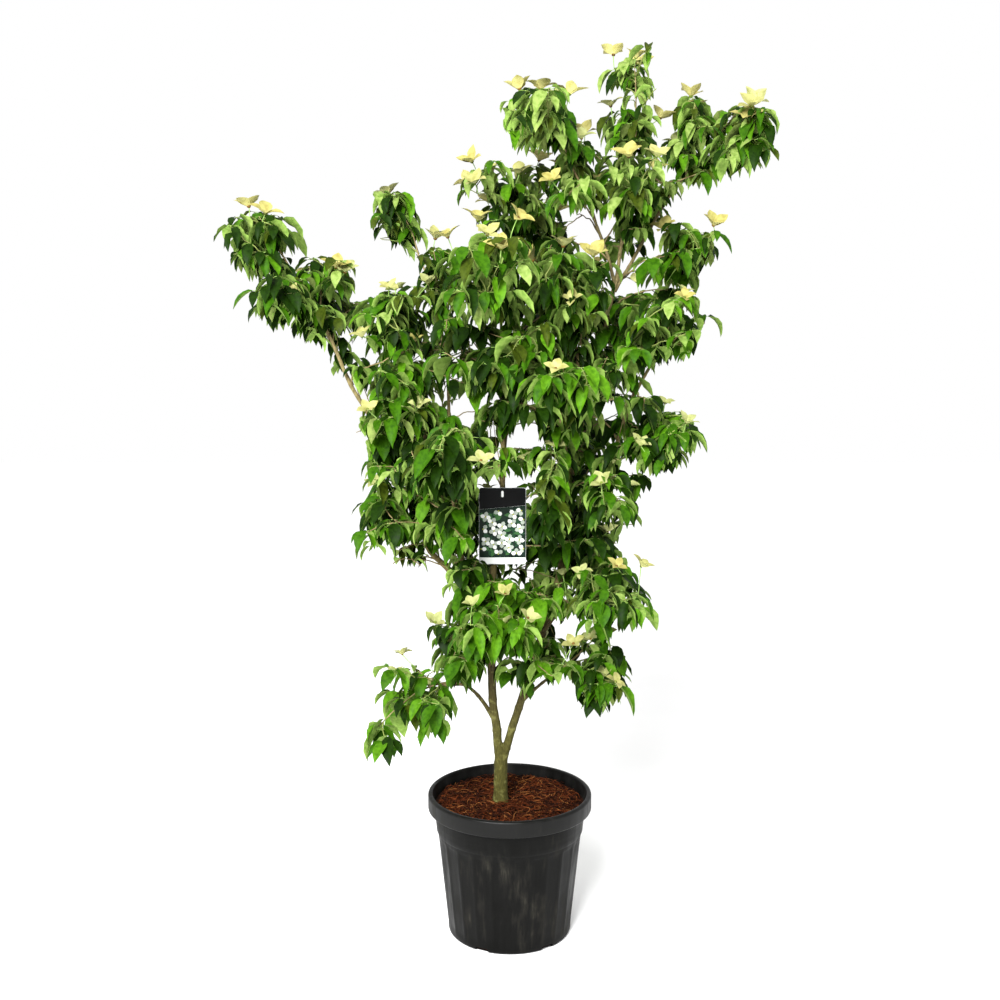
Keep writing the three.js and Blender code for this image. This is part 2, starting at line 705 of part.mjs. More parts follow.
// Bracts in a four pointed star, cupped, on a three sided stalk
function blossomSolid(foot, lean, turn) {
  const geometry = new THREE.SphereGeometry(1, 8, 2);
  const head = foot.clone().add(lean).add(new THREE.Vector3(0, 0, STALK_HEIGHT));
  const position = geometry.attributes.position;
  for (let index = 0; index < position.count; index += 1) {
    const azimuth = Math.atan2(position.getZ(index), position.getX(index));
    const onPoint = Math.round((azimuth * 4) / Math.PI) % 2 === 0;
    let radius = onPoint ? BRACT_REACH : BRACT_NOTCH;
    let height = onPoint ? BRACT_CUP : BRACT_CUP / 4;
    if (Math.abs(position.getY(index)) > 0.5) {
      radius = 0;
      height = (position.getY(index) * BLOSSOM_THICKNESS) / 2;
    }
    const x = head.x + radius * Math.cos(turn - azimuth);
    const y = head.y + radius * Math.sin(turn - azimuth);
    position.setXYZ(index, x, y, head.z + height);
  }
  const middle = foot.clone().lerp(head, 0.5);
  const ring = [0, 1, 2].map((corner) => {
    const angle = (corner * 2 * Math.PI) / 3;
    const across = new THREE.Vector3(-Math.sin(angle), Math.cos(angle), 0);
    return middle.clone().addScaledVector(across, STALK_RADIUS);
  });
  const stalk = skin(foot, [ring], head);
  return { body: solid(geometry).add(stalk), head };
}

function boxesMeet(one, two) {
  return [0, 1, 2].every((axis) => one.min[axis] <= two.max[axis] && two.min[axis] <= one.max[axis]);
}

function sharedVolume(one, two) {
  if (!boxesMeet(one.boundingBox(), two.boundingBox())) {
    return 0;
  }
  const common = one.intersect(two);
  const volume = common.volume();
  common.delete();
  return volume;
}

function touchesAny(body, others) {
  return others.some((other) => sharedVolume(body, other) > 0);
}

// A stem or shoot with the leaf at its end
function leafyShoot(curve, radiusAt, spans, draw) {
  const foot = curve.getPoint(0);
  const end = curve.getPoint(1);
  const azimuth = Math.atan2(end.y - foot.y, end.x - foot.x);
  const slope = LEAF_DROOP + LEAF_DROOP_RANGE * (draw() - 0.5);
  const size = LEAF_LEAST_SIZE + LEAF_SIZE_RANGE * draw();
  const corners = leafCorners(end, azimuth, slope, size);
  const side = new THREE.Vector3(Math.sin(azimuth), -Math.cos(azimuth), 0);
  const shares = [SHOOT_NECK / curve.getLength()];
  for (let index = 1; index <= spans; index += 1) {
    shares.push(index / spans);
  }
  const body = shootSolid(curve, shares, radiusAt, corners, side);
  return { curve, spans, azimuth, corners, body };
}

function makeTwigs(mass, taken, draw) {
  const stem = leafyShoot(stems[mass.name], stemRadius, STEM_SPANS, draw);
  for (const other of taken) {
    if (touchesAny(stem.body, [other])) {
      stem.body = stem.body.subtract(other);
    }
  }
  stem.body = largestPiece(stem.body);
  const twigs = [stem];
  for (const curve of shootsOf(mass, draw)) {
    const twig = leafyShoot(curve, () => SHOOT_RADIUS, SHOOT_SPANS, draw);
    const shoots = twigs.slice(1).map((other) => other.body);
    if (!touchesAny(twig.body, [...taken, ...shoots])) {
      twigs.push(twig);
    }
  }
  return twigs;
}

// One mass: its stem, then the shoots, blossoms and leaves that fit, all fused
function makeMass(mass, taken, draw) {
  const twigs = makeTwigs(mass, taken, draw);
  const dressing = [];
  for (const twig of twigs) {
    const others = twigs.filter((other) => other !== twig).map((other) => other.body);
    const free = (body) => {
      const shared = sharedVolume(body, twig.body);
      return shared > 0 && shared < ROOT_VOLUME && !touchesAny(body, [...taken, ...others, ...dressing]);
    };
    if (draw() < BLOSSOM_SHARE) {
      const foot = belowEnd(twig.curve, twig.spans, 2 * SHOOT_RADIUS);
      const lean = new THREE.Vector3(draw() - 0.5, draw() - 0.5, 0).multiplyScalar(STALK_LEAN);
      const { body, head } = blossomSolid(foot, lean, draw() * Math.PI);
      if (fits(mass, [head]) && free(body)) {
        dressing.push(body);
      }
    }
    for (const pair of LEAF_PAIRS) {
      const root = belowEnd(twig.curve, twig.spans, pair.below);
      for (const hand of [-1, 1]) {
        const turn = twig.azimuth + hand * pair.azimuth + LEAF_TURN_RANGE * (draw() - 0.5);
        const slope = LEAF_DROOP + LEAF_DROOP_RANGE * (draw() - 0.5);
        const size = LEAF_LEAST_SIZE + LEAF_SIZE_RANGE * draw();
        for (const [steeper, smaller] of LEAF_TRIES) {
          const corners = leafCorners(root, turn, slope + steeper, size * smaller);
          const leaf = skin(corners.root, [corners.ring], corners.point);
          if (fits(mass, [corners.point, ...corners.ring]) && free(leaf)) {
            dressing.push(leaf);
            break;
          }
        }
      }
    }
  }
  const whole = wasm.Manifold.union([...twigs.map((twig) => twig.body), ...dressing]);
  return largestPiece(whole);
}

// Name tag

function makeTag() {
  const leader = curves.left_leader;
  const limb = LIMBS.find((each) => each.name === "left_leader");
  const share = shareAtHeight(leader, TAG_HANG_HEIGHT);
  const centre = leader.getPoint(share);
  const along = directionAt(leader, share);
  const inner = radiusBetween(limb.foot, limb.tip)(share);
  const outer = inner + TAG_LOOP_THICKNESS;
  const half = TAG_LOOP_WIDTH / 2;
  const profile = [[inner, -half], [outer, -half], [outer, half], [inner, half], [inner, -half]];
  const points = profile.map(([radius, height]) => new THREE.Vector2(radius, height));
  const loop = new THREE.LatheGeometry(points, 16);
  loop.applyQuaternion(new THREE.Quaternion().setFromUnitVectors(new THREE.Vector3(0, 1, 0), along));
  loop.translate(centre.x, centre.y, centre.z);
  const card = new THREE.BoxGeometry(TAG_WIDTH, TAG_THICKNESS, TAG_HEIGHT);
  card.translate(
    centre.x + TAG_SIDESTEP,
    centre.y - outer,
    centre.z + TAG_TOP_ABOVE_LOOP - TAG_HEIGHT / 2,
  );
  return solid(loop).add(solid(card)).subtract(limbTube(limb, true));
}

// Assembly

const plant = new THREE.Group();
plant.add(node("pot", makePot(), POT_BLACK));
plant.add(node("growing_medium", makeGrowingMedium(), COIR));
const trunk = makeTrunk();
plant.add(node("trunk", trunk, BARK));
const { limbs, taken } = makeLimbs();
for (const limb of limbs) {
  plant.add(node(limb.name, limb.body, BARK));
}
const tag = makeTag();
plant.add(node("plant_label", tag, CARD));

const occupied = [trunk, tag, ...taken];
MASSES.forEach((mass, index) => {
  const body = makeMass(mass, occupied, seededDraw(seedOf(index) + 500));
  occupied.push(body);
  plant.add(node(mass.name, body, FOLIAGE));
});

export default plant;
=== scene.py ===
import math

import bmesh
import bpy
import numpy as np
from mathutils import Euler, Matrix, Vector, noise


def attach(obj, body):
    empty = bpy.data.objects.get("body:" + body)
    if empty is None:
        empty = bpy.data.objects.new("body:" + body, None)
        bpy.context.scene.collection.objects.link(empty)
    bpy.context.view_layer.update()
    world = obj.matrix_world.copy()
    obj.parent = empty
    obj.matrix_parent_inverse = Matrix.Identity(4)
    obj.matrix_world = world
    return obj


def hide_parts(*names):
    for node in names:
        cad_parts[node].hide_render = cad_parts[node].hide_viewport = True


MM = 0.001

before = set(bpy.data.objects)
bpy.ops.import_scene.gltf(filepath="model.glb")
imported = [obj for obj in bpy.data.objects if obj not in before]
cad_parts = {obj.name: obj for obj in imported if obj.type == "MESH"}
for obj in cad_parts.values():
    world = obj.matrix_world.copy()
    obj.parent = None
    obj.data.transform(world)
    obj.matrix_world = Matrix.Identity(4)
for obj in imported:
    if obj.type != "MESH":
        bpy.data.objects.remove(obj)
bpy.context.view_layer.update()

# Pot
POT_HEIGHT = 335
POT_FOOT_RADIUS = 142
POT_BODY_TOP = 244
POT_BODY_TOP_RADIUS = 167
POT_COLLAR_RADIUS = 172
POT_LIP_RADIUS = 189
POT_LIP_DEPTH = 38
POT_MOUTH_RADIUS = 178
POT_WALL = 3
POT_FLOOR = 3
POT_SEGMENTS = 192
# Drain notches at the foot, placed in degrees from +X towards +Y
NOTCH_AZIMUTHS = (63, 127, 243, 307)
NOTCH_WIDTH = 32
NOTCH_HEIGHT = 10
NOTCH_DEPTH = 9
FLUTE_COUNT = 24
FLUTE_DEPTH = 2.1
MEDIUM_TOP = 310

# Trunk, from the flat cut at the medium to the fork
TRUNK_PATH = [(-21, 5, 310.3), (-21, 5, 364), (-20, 3, 416)]
TRUNK_FOOT_RADIUS = 17
TRUNK_TOP_RADIUS = 15
ROOT_FLARE = 3
ROOT_FLARE_HEIGHT = 16

# Limbs, parents first: the parent, the height at which the limb comes out of it,
# its radius at foot and tip, and the points that it passes
LIMBS = {
    "left_leader": (
        "trunk", 396, 11.5, 4.6,
        [(-33, 0, 500), (-43, -10, 720), (-36, -20, 885), (-16, -30, 1045), (-20, -45, 1345)],
    ),
    "right_leader": (
        "trunk", 392, 10, 5.2,
        [
            (17, 10, 520), (72, 25, 695), (128, 30, 910), (150, 25, 1160), (189, 25, 1310),
            (235, 30, 1505),
        ],
    ),
    "top_left_bough": ("right_leader", 1492, 3.8, 3, [(204, 10, 1578), (172, -20, 1655)]),
    "top_centre_bough": ("right_leader", 1500, 4.2, 3.2, [(246, 42, 1590), (260, 40, 1690)]),
    "top_right_bough": (
        "right_leader", 1480, 4.2, 3.2, [(275, 45, 1560), (340, 60, 1670), (378, 70, 1722)],
    ),
    "right_limb": (
        "right_leader", 800, 7, 3.6,
        [(170, 10, 970), (222, -10, 1105), (263, -20, 1235), (330, -5, 1365)],
    ),
    "right_skirt_bough": ("right_leader", 705, 4, 3, [(112, -30, 768), (160, -75, 805)]),
    "low_right_bough": ("right_leader", 545, 4, 3, [(76, -10, 599), (109, -30, 630)]),
    "left_limb": (
        "left_leader", 690, 8, 4,
        [(-120, 10, 833), (-188, 20, 910), (-225, 25, 1050), (-310, 20, 1200), (-425, 5, 1430)],
    ),
    "left_inner_limb": (
        "left_leader", 735, 6, 3.6,
        [(-90, -40, 850), (-130, -62, 960), (-155, -68, 1055), (-188, -55, 1185)],
    ),
    "left_upper_bough": (
        "left_inner_limb", 1040, 4.2, 3, [(-137, -20, 1160), (-142, 35, 1300), (-152, 50, 1380)],
    ),
    "left_front_bough": ("left_inner_limb", 890, 3.8, 3, [(-115, -130, 975), (-120, -185, 1035)]),
    "low_front_bough": ("left_leader", 620, 3.6, 2.8, [(-33, -60, 675), (-26, -108, 710)]),
    "low_left_bough": (
        "left_leader", 505, 4.6, 3, [(-68, -10, 562), (-98, -20, 592), (-128, -28, 596)],
    ),
    "upper_centre_bough": (
        "left_leader", 1130, 4.6, 3.2, [(4, 40, 1260), (22, 100, 1415), (30, 118, 1530)],
    ),
    "front_bough": ("right_leader", 1055, 4.2, 3, [(122, -60, 1138), (108, -145, 1200)]),
    "centre_right_bough": ("right_leader", 1215, 3.8, 3, [(152, -10, 1300), (142, -30, 1375)]),
    "back_left_bough": ("left_leader", 770, 5, 3, [(-93, 115, 880), (-140, 215, 1020)]),
    "back_right_bough": ("right_leader", 835, 5, 3, [(154, 135, 950), (190, 225, 1070)]),
}

# Masses of foliage, under the piece that holds their leaves: the limb, the height on it where
# the stem starts (or None for its tip), the centre of the mass's space and its half sizes
MASS_GROUPS = {
    "leaves_top": {
        "top_left": ("top_left_bough", None, (50, -80, 1835), (110, 150, 78)),
        "top_left_inner": ("top_left_bough", 1625, (133, -22, 1726), (72, 110, 98)),
        "top_centre": ("top_centre_bough", None, (266, 20, 1868), (74, 120, 132)),
        "top_inner": ("top_centre_bough", 1625, (250, -60, 1690), (86, 110, 96)),
        "top_right_inner": ("top_right_bough", None, (400, 60, 1810), (70, 120, 110)),
        "top_right_tip": ("top_right_bough", 1690, (492, -10, 1796), (80, 130, 100)),
    },
    "leaves_right": {
        "right_upper": ("right_limb", None, (399, 60, 1552), (84, 140, 88)),
        "right_shoulder": ("right_limb", 1325, (311, -60, 1390), (110, 150, 110)),
        "right_mid": ("right_limb", 1060, (330, -80, 1152), (90, 150, 86)),
        "right_low": ("right_limb", 960, (225, -100, 1030), (80, 120, 84)),
        "right_skirt": ("right_skirt_bough", None, (218, -110, 822), (103, 170, 98)),
        "low_right": ("low_right_bough", None, (178, -50, 635), (108, 140, 100)),
    },
    "leaves_centre": {
        "centre_top": ("left_leader", None, (-45, -150, 1510), (110, 160, 120)),
        "centre": ("left_leader", 1300, (9, -140, 1330), (105, 130, 95)),
        "upper_centre": ("upper_centre_bough", None, (7, 110, 1680), (132, 150, 100)),
        "centre_right": ("centre_right_bough", None, (133, -40, 1473), (95, 150, 112)),
        "centre_front": ("front_bough", None, (104, -230, 1280), (95, 120, 84)),
        "inner_low": ("front_bough", 1160, (84, -130, 1045), (64, 110, 135)),
    },
    "leaves_left": {
        "wing_tip": ("left_limb", None, (-547, 20, 1573), (86, 140, 94)),
        "wing_low": ("left_limb", 1405, (-495, -80, 1463), (82, 120, 76)),
        "wing_inner": ("left_limb", 1375, (-410, 60, 1450), (82, 140, 130)),
        "lone_spray": ("left_upper_bough", 1340, (-267, 140, 1633), (78, 110, 92)),
        "left_upper": ("left_upper_bough", None, (-172, 60, 1482), (82, 150, 124)),
        "left_shoulder": ("left_inner_limb", None, (-258, -20, 1414), (92, 150, 88)),
        "left_mid": ("left_inner_limb", 1150, (-233, -95, 1262), (92, 150, 98)),
        "left_front": ("left_front_bough", None, (-132, -250, 1150), (86, 120, 92)),
        "left_low": ("left_limb", 935, (-268, 0, 973), (84, 130, 96)),
        "left_side": ("left_limb", 1080, (-300, 10, 1140), (74, 130, 88)),
        "left_inner_low": ("left_inner_limb", 900, (-135, -50, 985), (84, 110, 96)),
    },
    "leaves_low": {
        "low_front": ("low_front_bough", None, (-33, -170, 760), (98, 110, 86)),
        "low_left_upper": ("low_left_bough", 585, (-130, 40, 660), (66, 120, 82)),
        "low_left": ("low_left_bough", None, (-210, -50, 570), (92, 120, 100)),
        "low_left_tip": ("low_left_bough", 591, (-297, -110, 469), (73, 95, 74)),
    },
    "leaves_back": {
        "back_left": ("back_left_bough", None, (-167, 280, 1217), (160, 150, 215)),
        "back_right": ("back_right_bough", None, (220, 290, 1216), (150, 150, 215)),
        "back_top": ("upper_centre_bough", 1470, (119, 260, 1526), (110, 140, 140)),
        "back_low": ("back_right_bough", 930, (123, 240, 831), (145, 140, 150)),
    },
}
MASSES = {mass: places for group in MASS_GROUPS.values() for mass, places in group.items()}
TOP_MASSES = MASS_GROUPS["leaves_top"]
LOW_MASSES = MASS_GROUPS["leaves_low"]
# Masses with a good share of olive leaves
OLIVE_MASSES = (
    "wing_tip", "wing_low", "wing_inner", "lone_spray", "left_upper", "upper_centre",
    "back_left", "back_right", "back_top", "right_upper",
)

# The growing rule of the solids
FIRST_SEED = 607
SEED_STEP = 17
SHOOT_SEED_STEP = 500
STEM_FOOT_RADIUS = 3.2
STEM_END_RADIUS = 2.4
STEM_BEND = 0.45
STEM_END_SHARE = 0.8
STEM_END_SIDESTEP = 0.5
SHOOT_RADIUS = 2
SHOOT_LEAVES_STEM = (0.3, 0.92)
SHOOT_RISE = 0.5
SHOOT_RISE_FROM = 0.7
SHOOT_CHECKS = (0.4, 0.6, 0.8, 1)
SHOOT_ATTEMPTS = 120
SHOOTS_AT_MOST = 7
MASS_SIZE_PER_SHOOT = 44
ENDS_APART = 60
ROOM_AROUND = 30
ROOM_ABOVE = 4
ROOM_BELOW = 72
LEAST_ROOM = 12
SPACE_POWER = 3
SPACE_EDGE = 1.15
SPACE_MARGIN = -0.15
TOUCH_MARGIN = 1.5

# Finer twigs, grown on from the shoots
FINE_SEED_STEP = 9000
FINE_PER_SHOOT = 3.6
FINE_ENDS_APART = 29
FINE_ATTEMPTS = 600
FINE_ROOM_AROUND = 38
FINE_ROOM_ABOVE = 22
FINE_ROOM_BELOW = 50
FINE_RADIUS = 1.5
TWIG_TIP_RADIUS = 0.9
TWIG_STEPS = 9
TWIG_SIDES = 6
TWIG_WOBBLE = 1.6
# Share of the fine twigs in masses whose sprays stand apart against the sky
SPARSE_MASSES = {"low_left_tip": 0.5, "low_left": 0.4, "low_left_upper": 0.4, "low_front": 0.6}

# A twig's fork: the places tried for it, how far its end should be above it, and how the twig
# leaves it, partly along its parent and partly straight to its end
FORK_PLACES = 13
FIRST_FORK = 0.3
LAST_FORK = 0.94
LEAST_RISE = 0.35
LOW_FORK_COST = 2
FORK_FOLLOWS = 0.3
FORK_AIMS = 0.25

# Further shoots straight out of the limbs, at most one in each step along a limb: how far aside
# and above it they end, and how far out in a mass's space at most, where 1 is its edge
INNER_STEP = 34
INNER_REACH = (30, 160)
INNER_RISE = (30, 110)
INNER_ATTEMPTS = 6
INNER_ENDS_APART = 44
INNER_DEPTH = 1.3006
INNER_LOWEST = 640
INNER_FIRST_FORK = 0.1
INNER_LAST_SHARE = 0.98
INNER_SIDE_TWIGS = 2
INNER_SPREAD = (44, 44, 22)

# Thin spare shoots, bare but for their tips: how many grow from each limb, and between which heights
SPARE_SHOOTS = {
    "left_leader": (9, 560, 1250), "left_limb": (8, 720, 1250), "left_inner_limb": (9, 760, 1150),
    "right_leader": (10, 560, 1450), "right_limb": (6, 900, 1330),
}
SPARE_LENGTH = (90, 190)

# The camera's place, how many degrees it looks down, and the openings that it sees in and round
# the crown, on the upright plane through the trunk: across, up and radius
CAMERA_X = -22.4
CAMERA_BACK = 3067
CAMERA_Z = 1525
CAMERA_DOWN = 9.384
OPENINGS = np.array([
    (135, 1985, 80), (195, 1940, 20), (385, 1970, 70), (455, 1915, 55), (455, 1880, 25),
    (655, 1800, 80), (575, 1605, 95), (515, 1480, 90), (430, 1515, 20), (435, 1350, 30),
    (395, 1315, 20), (355, 1305, 20), (505, 1285, 80), (430, 1220, 25), (405, 990, 100),
    (340, 915, 60), (265, 900, 20), (410, 740, 70), (360, 550, 65), (285, 660, 35),
    (255, 685, 15), (320, 660, 30), (230, 430, 65), (105, 485, 55), (125, 575, 25),
    (-375, 575, 65), (-285, 760, 65), (-225, 805, 60), (-160, 760, 25), (-305, 840, 45),
    (-365, 1120, 55), (-380, 1230, 60), (-485, 1295, 85), (-400, 1240, 55), (-570, 1350, 65),
    (-670, 1525, 65), (-640, 1695, 50), (-455, 1710, 85), (-375, 1635, 80), (-295, 1545, 45),
    (-240, 1535, 25), (-215, 1515, 20), (-260, 1780, 70), (-345, 1745, 50), (-160, 1695, 40),
    (-150, 1640, 20), (-190, 1700, 25), (-135, 1770, 20), (-65, 1810, 50), (-25, 1800, 20),
    (-85, 1660, 20), (-55, 1665, 15), (-5, 1770, 15), (-100, 1925, 60), (65, 1980, 65),
    (40, 1755, 15), (75, 1750, 20), (155, 1610, 35), (120, 1645, 15), (175, 1575, 20),
    (355, 1725, 10), (390, 1650, 30), (310, 1605, 10), (295, 1575, 10), (-170, 1390, 15),
    (-325, 1355, 10), (-120, 1330, 15), (-75, 1345, 10), (-115, 1270, 10), (-105, 1210, 30),
    (45, 1335, 10), (-175, 1430, 10), (-200, 1445, 10), (25, 1160, 20), (45, 1220, 15),
    (-40, 1160, 15), (100, 1100, 10), (65, 1075, 10), (55, 1010, 10), (220, 1205, 25),
    (210, 1190, 20), (185, 1230, 10), (275, 1200, 15), (260, 1085, 20), (240, 1020, 15),
    (230, 970, 10), (265, 930, 25), (-150, 960, 10), (-170, 875, 20), (95, 725, 20),
    (120, 715, 20), (145, 735, 15), (-10, 645, 10), (70, 600, 10), (115, 520, 50),
    (-185, 590, 20), (-195, 565, 10), (-80, 490, 45), (-60, 545, 20), (-105, 545, 10),
    (-230, 445, 15), (-180, 395, 25), (-330, 520, 20), (-70, 715, 10), (-110, 650, 10),
    (-230, 695, 30), (-140, 1260, 15), (225, 1880, 15), (275, 1870, 10), (305, 1870, 15),
    (335, 1880, 20), (260, 1870, 10), (490, 1520, 35), (-335, 1580, 35), (-185, 1750, 30),
    (-90, 440, 45), (-400, 1030, 35), (400, 1275, 25), (-165, 835, 25), (-130, 795, 15),
    (80, 570, 15), (380, 1305, 15),
])
# Where the camera sees the label on that plane, and the depth in front of which foliage hides it
LABEL_SEEN = ((-74, 36), (872, 1060))
LABEL_FRONT = -25

# Leaves, in opposite pairs that turn a quarter each, from a twig's tip down
LEAF_LENGTH = (38, 70)
LEAF_WIDTH_SHARE = (0.42, 0.54)
PETIOLE = (6, 11)
PETIOLE_RADIUS = 0.8
PETIOLE_LIFT = 0.35
PAIR_SIZES = (0.8, 1, 1.02, 0.98, 0.9)
PAIR_GAPS = (5, 13, 30, 34, 34)
# How much larger than the rest the leaves of some masses are
LARGE_LEAVED = {
    "low_left_tip": 1.3, "low_left": 1.15, "low_left_upper": 1.15, "low_front": 1.15, "centre": 1.12,
    "centre_top": 1.15, "centre_front": 1.1, "left_front": 1.1, "right_skirt": 1.08,
}

# Where the photo shows blossoms: across and up on the upright plane through the trunk
BLOSSOM_PLACES = [
    (270, 1955), (20, 1905), (65, 1905), (125, 1895), (215, 1870), (320, 1845), (385, 1890),
    (515, 1870), (510, 1845), (255, 1765), (310, 1735), (190, 1710), (90, 1715), (20, 1730),
    (440, 1620), (335, 1610), (15, 1635), (90, 1615), (-50, 1600), (115, 1575), (180, 1555),
    (-70, 1630), (270, 1545), (-265, 1485), (-180, 1495), (-135, 1595), (-20, 1570), (135, 1460),
    (65, 1465), (100, 1310), (-325, 1380), (-265, 1365), (-210, 1370), (-160, 1315), (-225, 1220),
    (-200, 1230), (-315, 1220), (-20, 1340), (-125, 1160), (-65, 1105), (30, 1110), (185, 1130),
    (85, 1175), (65, 965), (-110, 930), (205, 1055), (260, 1050), (220, 945), (195, 915),
    (165, 850), (240, 865), (120, 845), (-85, 775), (-10, 800), (-10, 735), (40, 745),
    (-125, 685), (-170, 735), (-245, 660), (-260, 615), (-185, 585), (145, 685), (185, 695),
    (215, 610), (240, 595), (215, 710), (-60, 665), (-565, 1660), (-530, 1645), (-455, 1610),
    (-380, 1530), (-360, 1520), (290, 1140), (390, 1190), (295, 865), (380, 1465),
]
# How a twig's end is chosen for such a place: the cost is 1 for each of these distances across,
# up from where its stalk would end, and back from the front
PLACE_ACROSS = 30
PLACE_UP = 24
PLACE_BACK = 250
PLACE_MOST_COST = 2.5
PLACE_TRIES = 12
STALK_RISE = 24
# Further blossoms: the chance of one on a twig high in a top mass, high in another mass or lower
# down, and the share of that chance in front, where the photo shows where they are
BLOSSOMS_APART = 52
TOP_CHANCE = 0.7
UPPER_CHANCE = 0.45
LOWER_CHANCE = 0.13
FRONT_SHARE = 0.12
UPPER_FROM = 0.25
HIGH_BLOSSOM = 1480
LEAN_DISTANCE = 200
LEAN_FORWARD = 20
BRACT_LENGTH = (28, 33)
BRACT_WIDTH_SHARE = (0.32, 0.38)
BRACT_SLOPES = (-1.1, -0.9, -1.1, -0.9)
BRACT_FOLD = 0.22
BRACT_WAVE = 0.05
BRACT_RING = 1.6
HEAD_RADIUS = 3.4
HEAD_RISE = 2.6


def linear(colour):
    """A colour given as an sRGB hex number, as linear values."""
    shares = [((colour >> shift) & 255) / 255 for shift in (16, 8, 0)]
    made = [v / 12.92 if v <= 0.04045 else ((v + 0.055) / 1.055) ** 2.4 for v in shares]
    return (*made, 1)


def fill(tree, node, inputs):
    """Gives each named input of a node its value, or links it to an output."""
    for name, value in inputs.items():
        if isinstance(value, bpy.types.NodeSocket):
            tree.links.new(value, node.inputs[name])
        else:
            node.inputs[name].default_value = value


def add(tree, kind, inputs=None, stops=(), **settings):
    """A node with its inputs and settings. A colour ramp's stops are pairs of position and
    hex colour."""
    made = tree.nodes.new(kind)
    for name, value in settings.items():
        setattr(made, name, value)
    fill(tree, made, inputs or {})
    elements = made.color_ramp.elements if stops else ()
    while len(elements) < len(stops):
        elements.new(0.5)
    for element, (position, colour) in zip(elements, stops):
        element.position = position
        element.color = linear(colour)
    return made


def material(name):
    """A new material with a Principled shader, its node tree and its Object coordinates."""
    made = bpy.data.materials.new(name)
    made.use_nodes = True
    return made, made.node_tree, add(made.node_tree, "ShaderNodeTexCoord").outputs["Object"]


def coat(made, **inputs):
    """Fills the inputs of a material's shader and returns the material."""
    named = {name.replace("_", " "): value for name, value in inputs.items()}
    fill(made.node_tree, made.node_tree.nodes["Principled BSDF"], named)
    return made


def scale_for(size):
    """The scale of a pattern with grains of this size in millimetres."""
    return 1 / (size * MM)


def mottled(name, stops, patches, puckers, bump, gloss=None, **inputs):
    """A finish whose colour varies in patches and whose skin is puckered. Patches and puckers
    give their size in millimetres and their detail, bump the puckers' strength and depth, and
    gloss the span of a roughness that goes with the patches."""
    made, tree, place = material(name)
    heights = []
    for size, detail in (patches, puckers):
        pattern = {"Vector": place, "Scale": scale_for(size), "Detail": detail}
        heights.append(add(tree, "ShaderNodeTexNoise", pattern).outputs["Fac"])
    colour = add(tree, "ShaderNodeValToRGB", {"Fac": heights[0]}, stops).outputs["Color"]
    if gloss:
        spread = {"Value": heights[0], "To Min": gloss[0], "To Max": gloss[1]}
        inputs["Roughness"] = add(tree, "ShaderNodeMapRange", spread).outputs["Result"]
    strength, depth = bump
    relief = {"Height": heights[1], "Strength": strength, "Distance": depth * MM}
    normal = add(tree, "ShaderNodeBump", relief).outputs["Normal"]
    return coat(made, Base_Color=colour, Normal=normal, **inputs)


def leaf_finish(name, base, dark, roughness):
    """Dogwood leaf: a thin living blade with a waxed skin. It is mottled between its side
    veins, 9 mm apart, and finely puckered, so its sheen is broken."""
    return mottled(
        name, [(0.3, dark), (0.62, base)], patches=(9.09, 2), puckers=(3.85, 2), bump=(0.35, 1.5),
        gloss=(roughness - 0.07, roughness + 0.1), IOR=1.45, Specular_IOR_Level=0.07,
    )


def bract_finish(name, base, tint):
    """Dogwood bract: a thin matt petal-like blade with 3 mm veins, flushed darker in patches."""
    return mottled(
        name, [(0.34, tint), (0.56, base)], patches=(11.76, 3), puckers=(3.125, 1), bump=(0.25, 1),
        Roughness=0.6, Specular_IOR_Level=0.2,
    )


def twig_finish(name, base, dark):
    """The skin of young dogwood shoots, stalks and flower heads: thin and smooth, in soft
    patches of 17 mm, nearly without a sheen."""
    return mottled(
        name, [(0.35, dark), (0.65, base)], patches=(16.67, 4), puckers=(16.67, 4), bump=(0.5, 1),
        Roughness=0.62, Specular_IOR_Level=0.2,
    )


def coir_finish(name, base, dark):
    """Coir: dry brown coconut fibre, quite matt, with darker stretches of 11 mm."""
    return mottled(
        name, [(0.36, dark), (0.62, base)], patches=(11.11, 5), puckers=(11.11, 5), bump=(0.9, 4),
        Roughness=0.93, Specular_IOR_Level=0.08,
    )


def card_finish(name, base, tint):
    """Printed plastic card: smooth ink under a thin gloss, faintly uneven in clouds of 22 mm."""
    return mottled(
        name, [(0.35, tint), (0.6, base)], patches=(22.22, 3), puckers=(22.22, 3), bump=(0.1, 1),
        gloss=(0.34, 0.5), IOR=1.5, Specular_IOR_Level=0.1,
    )


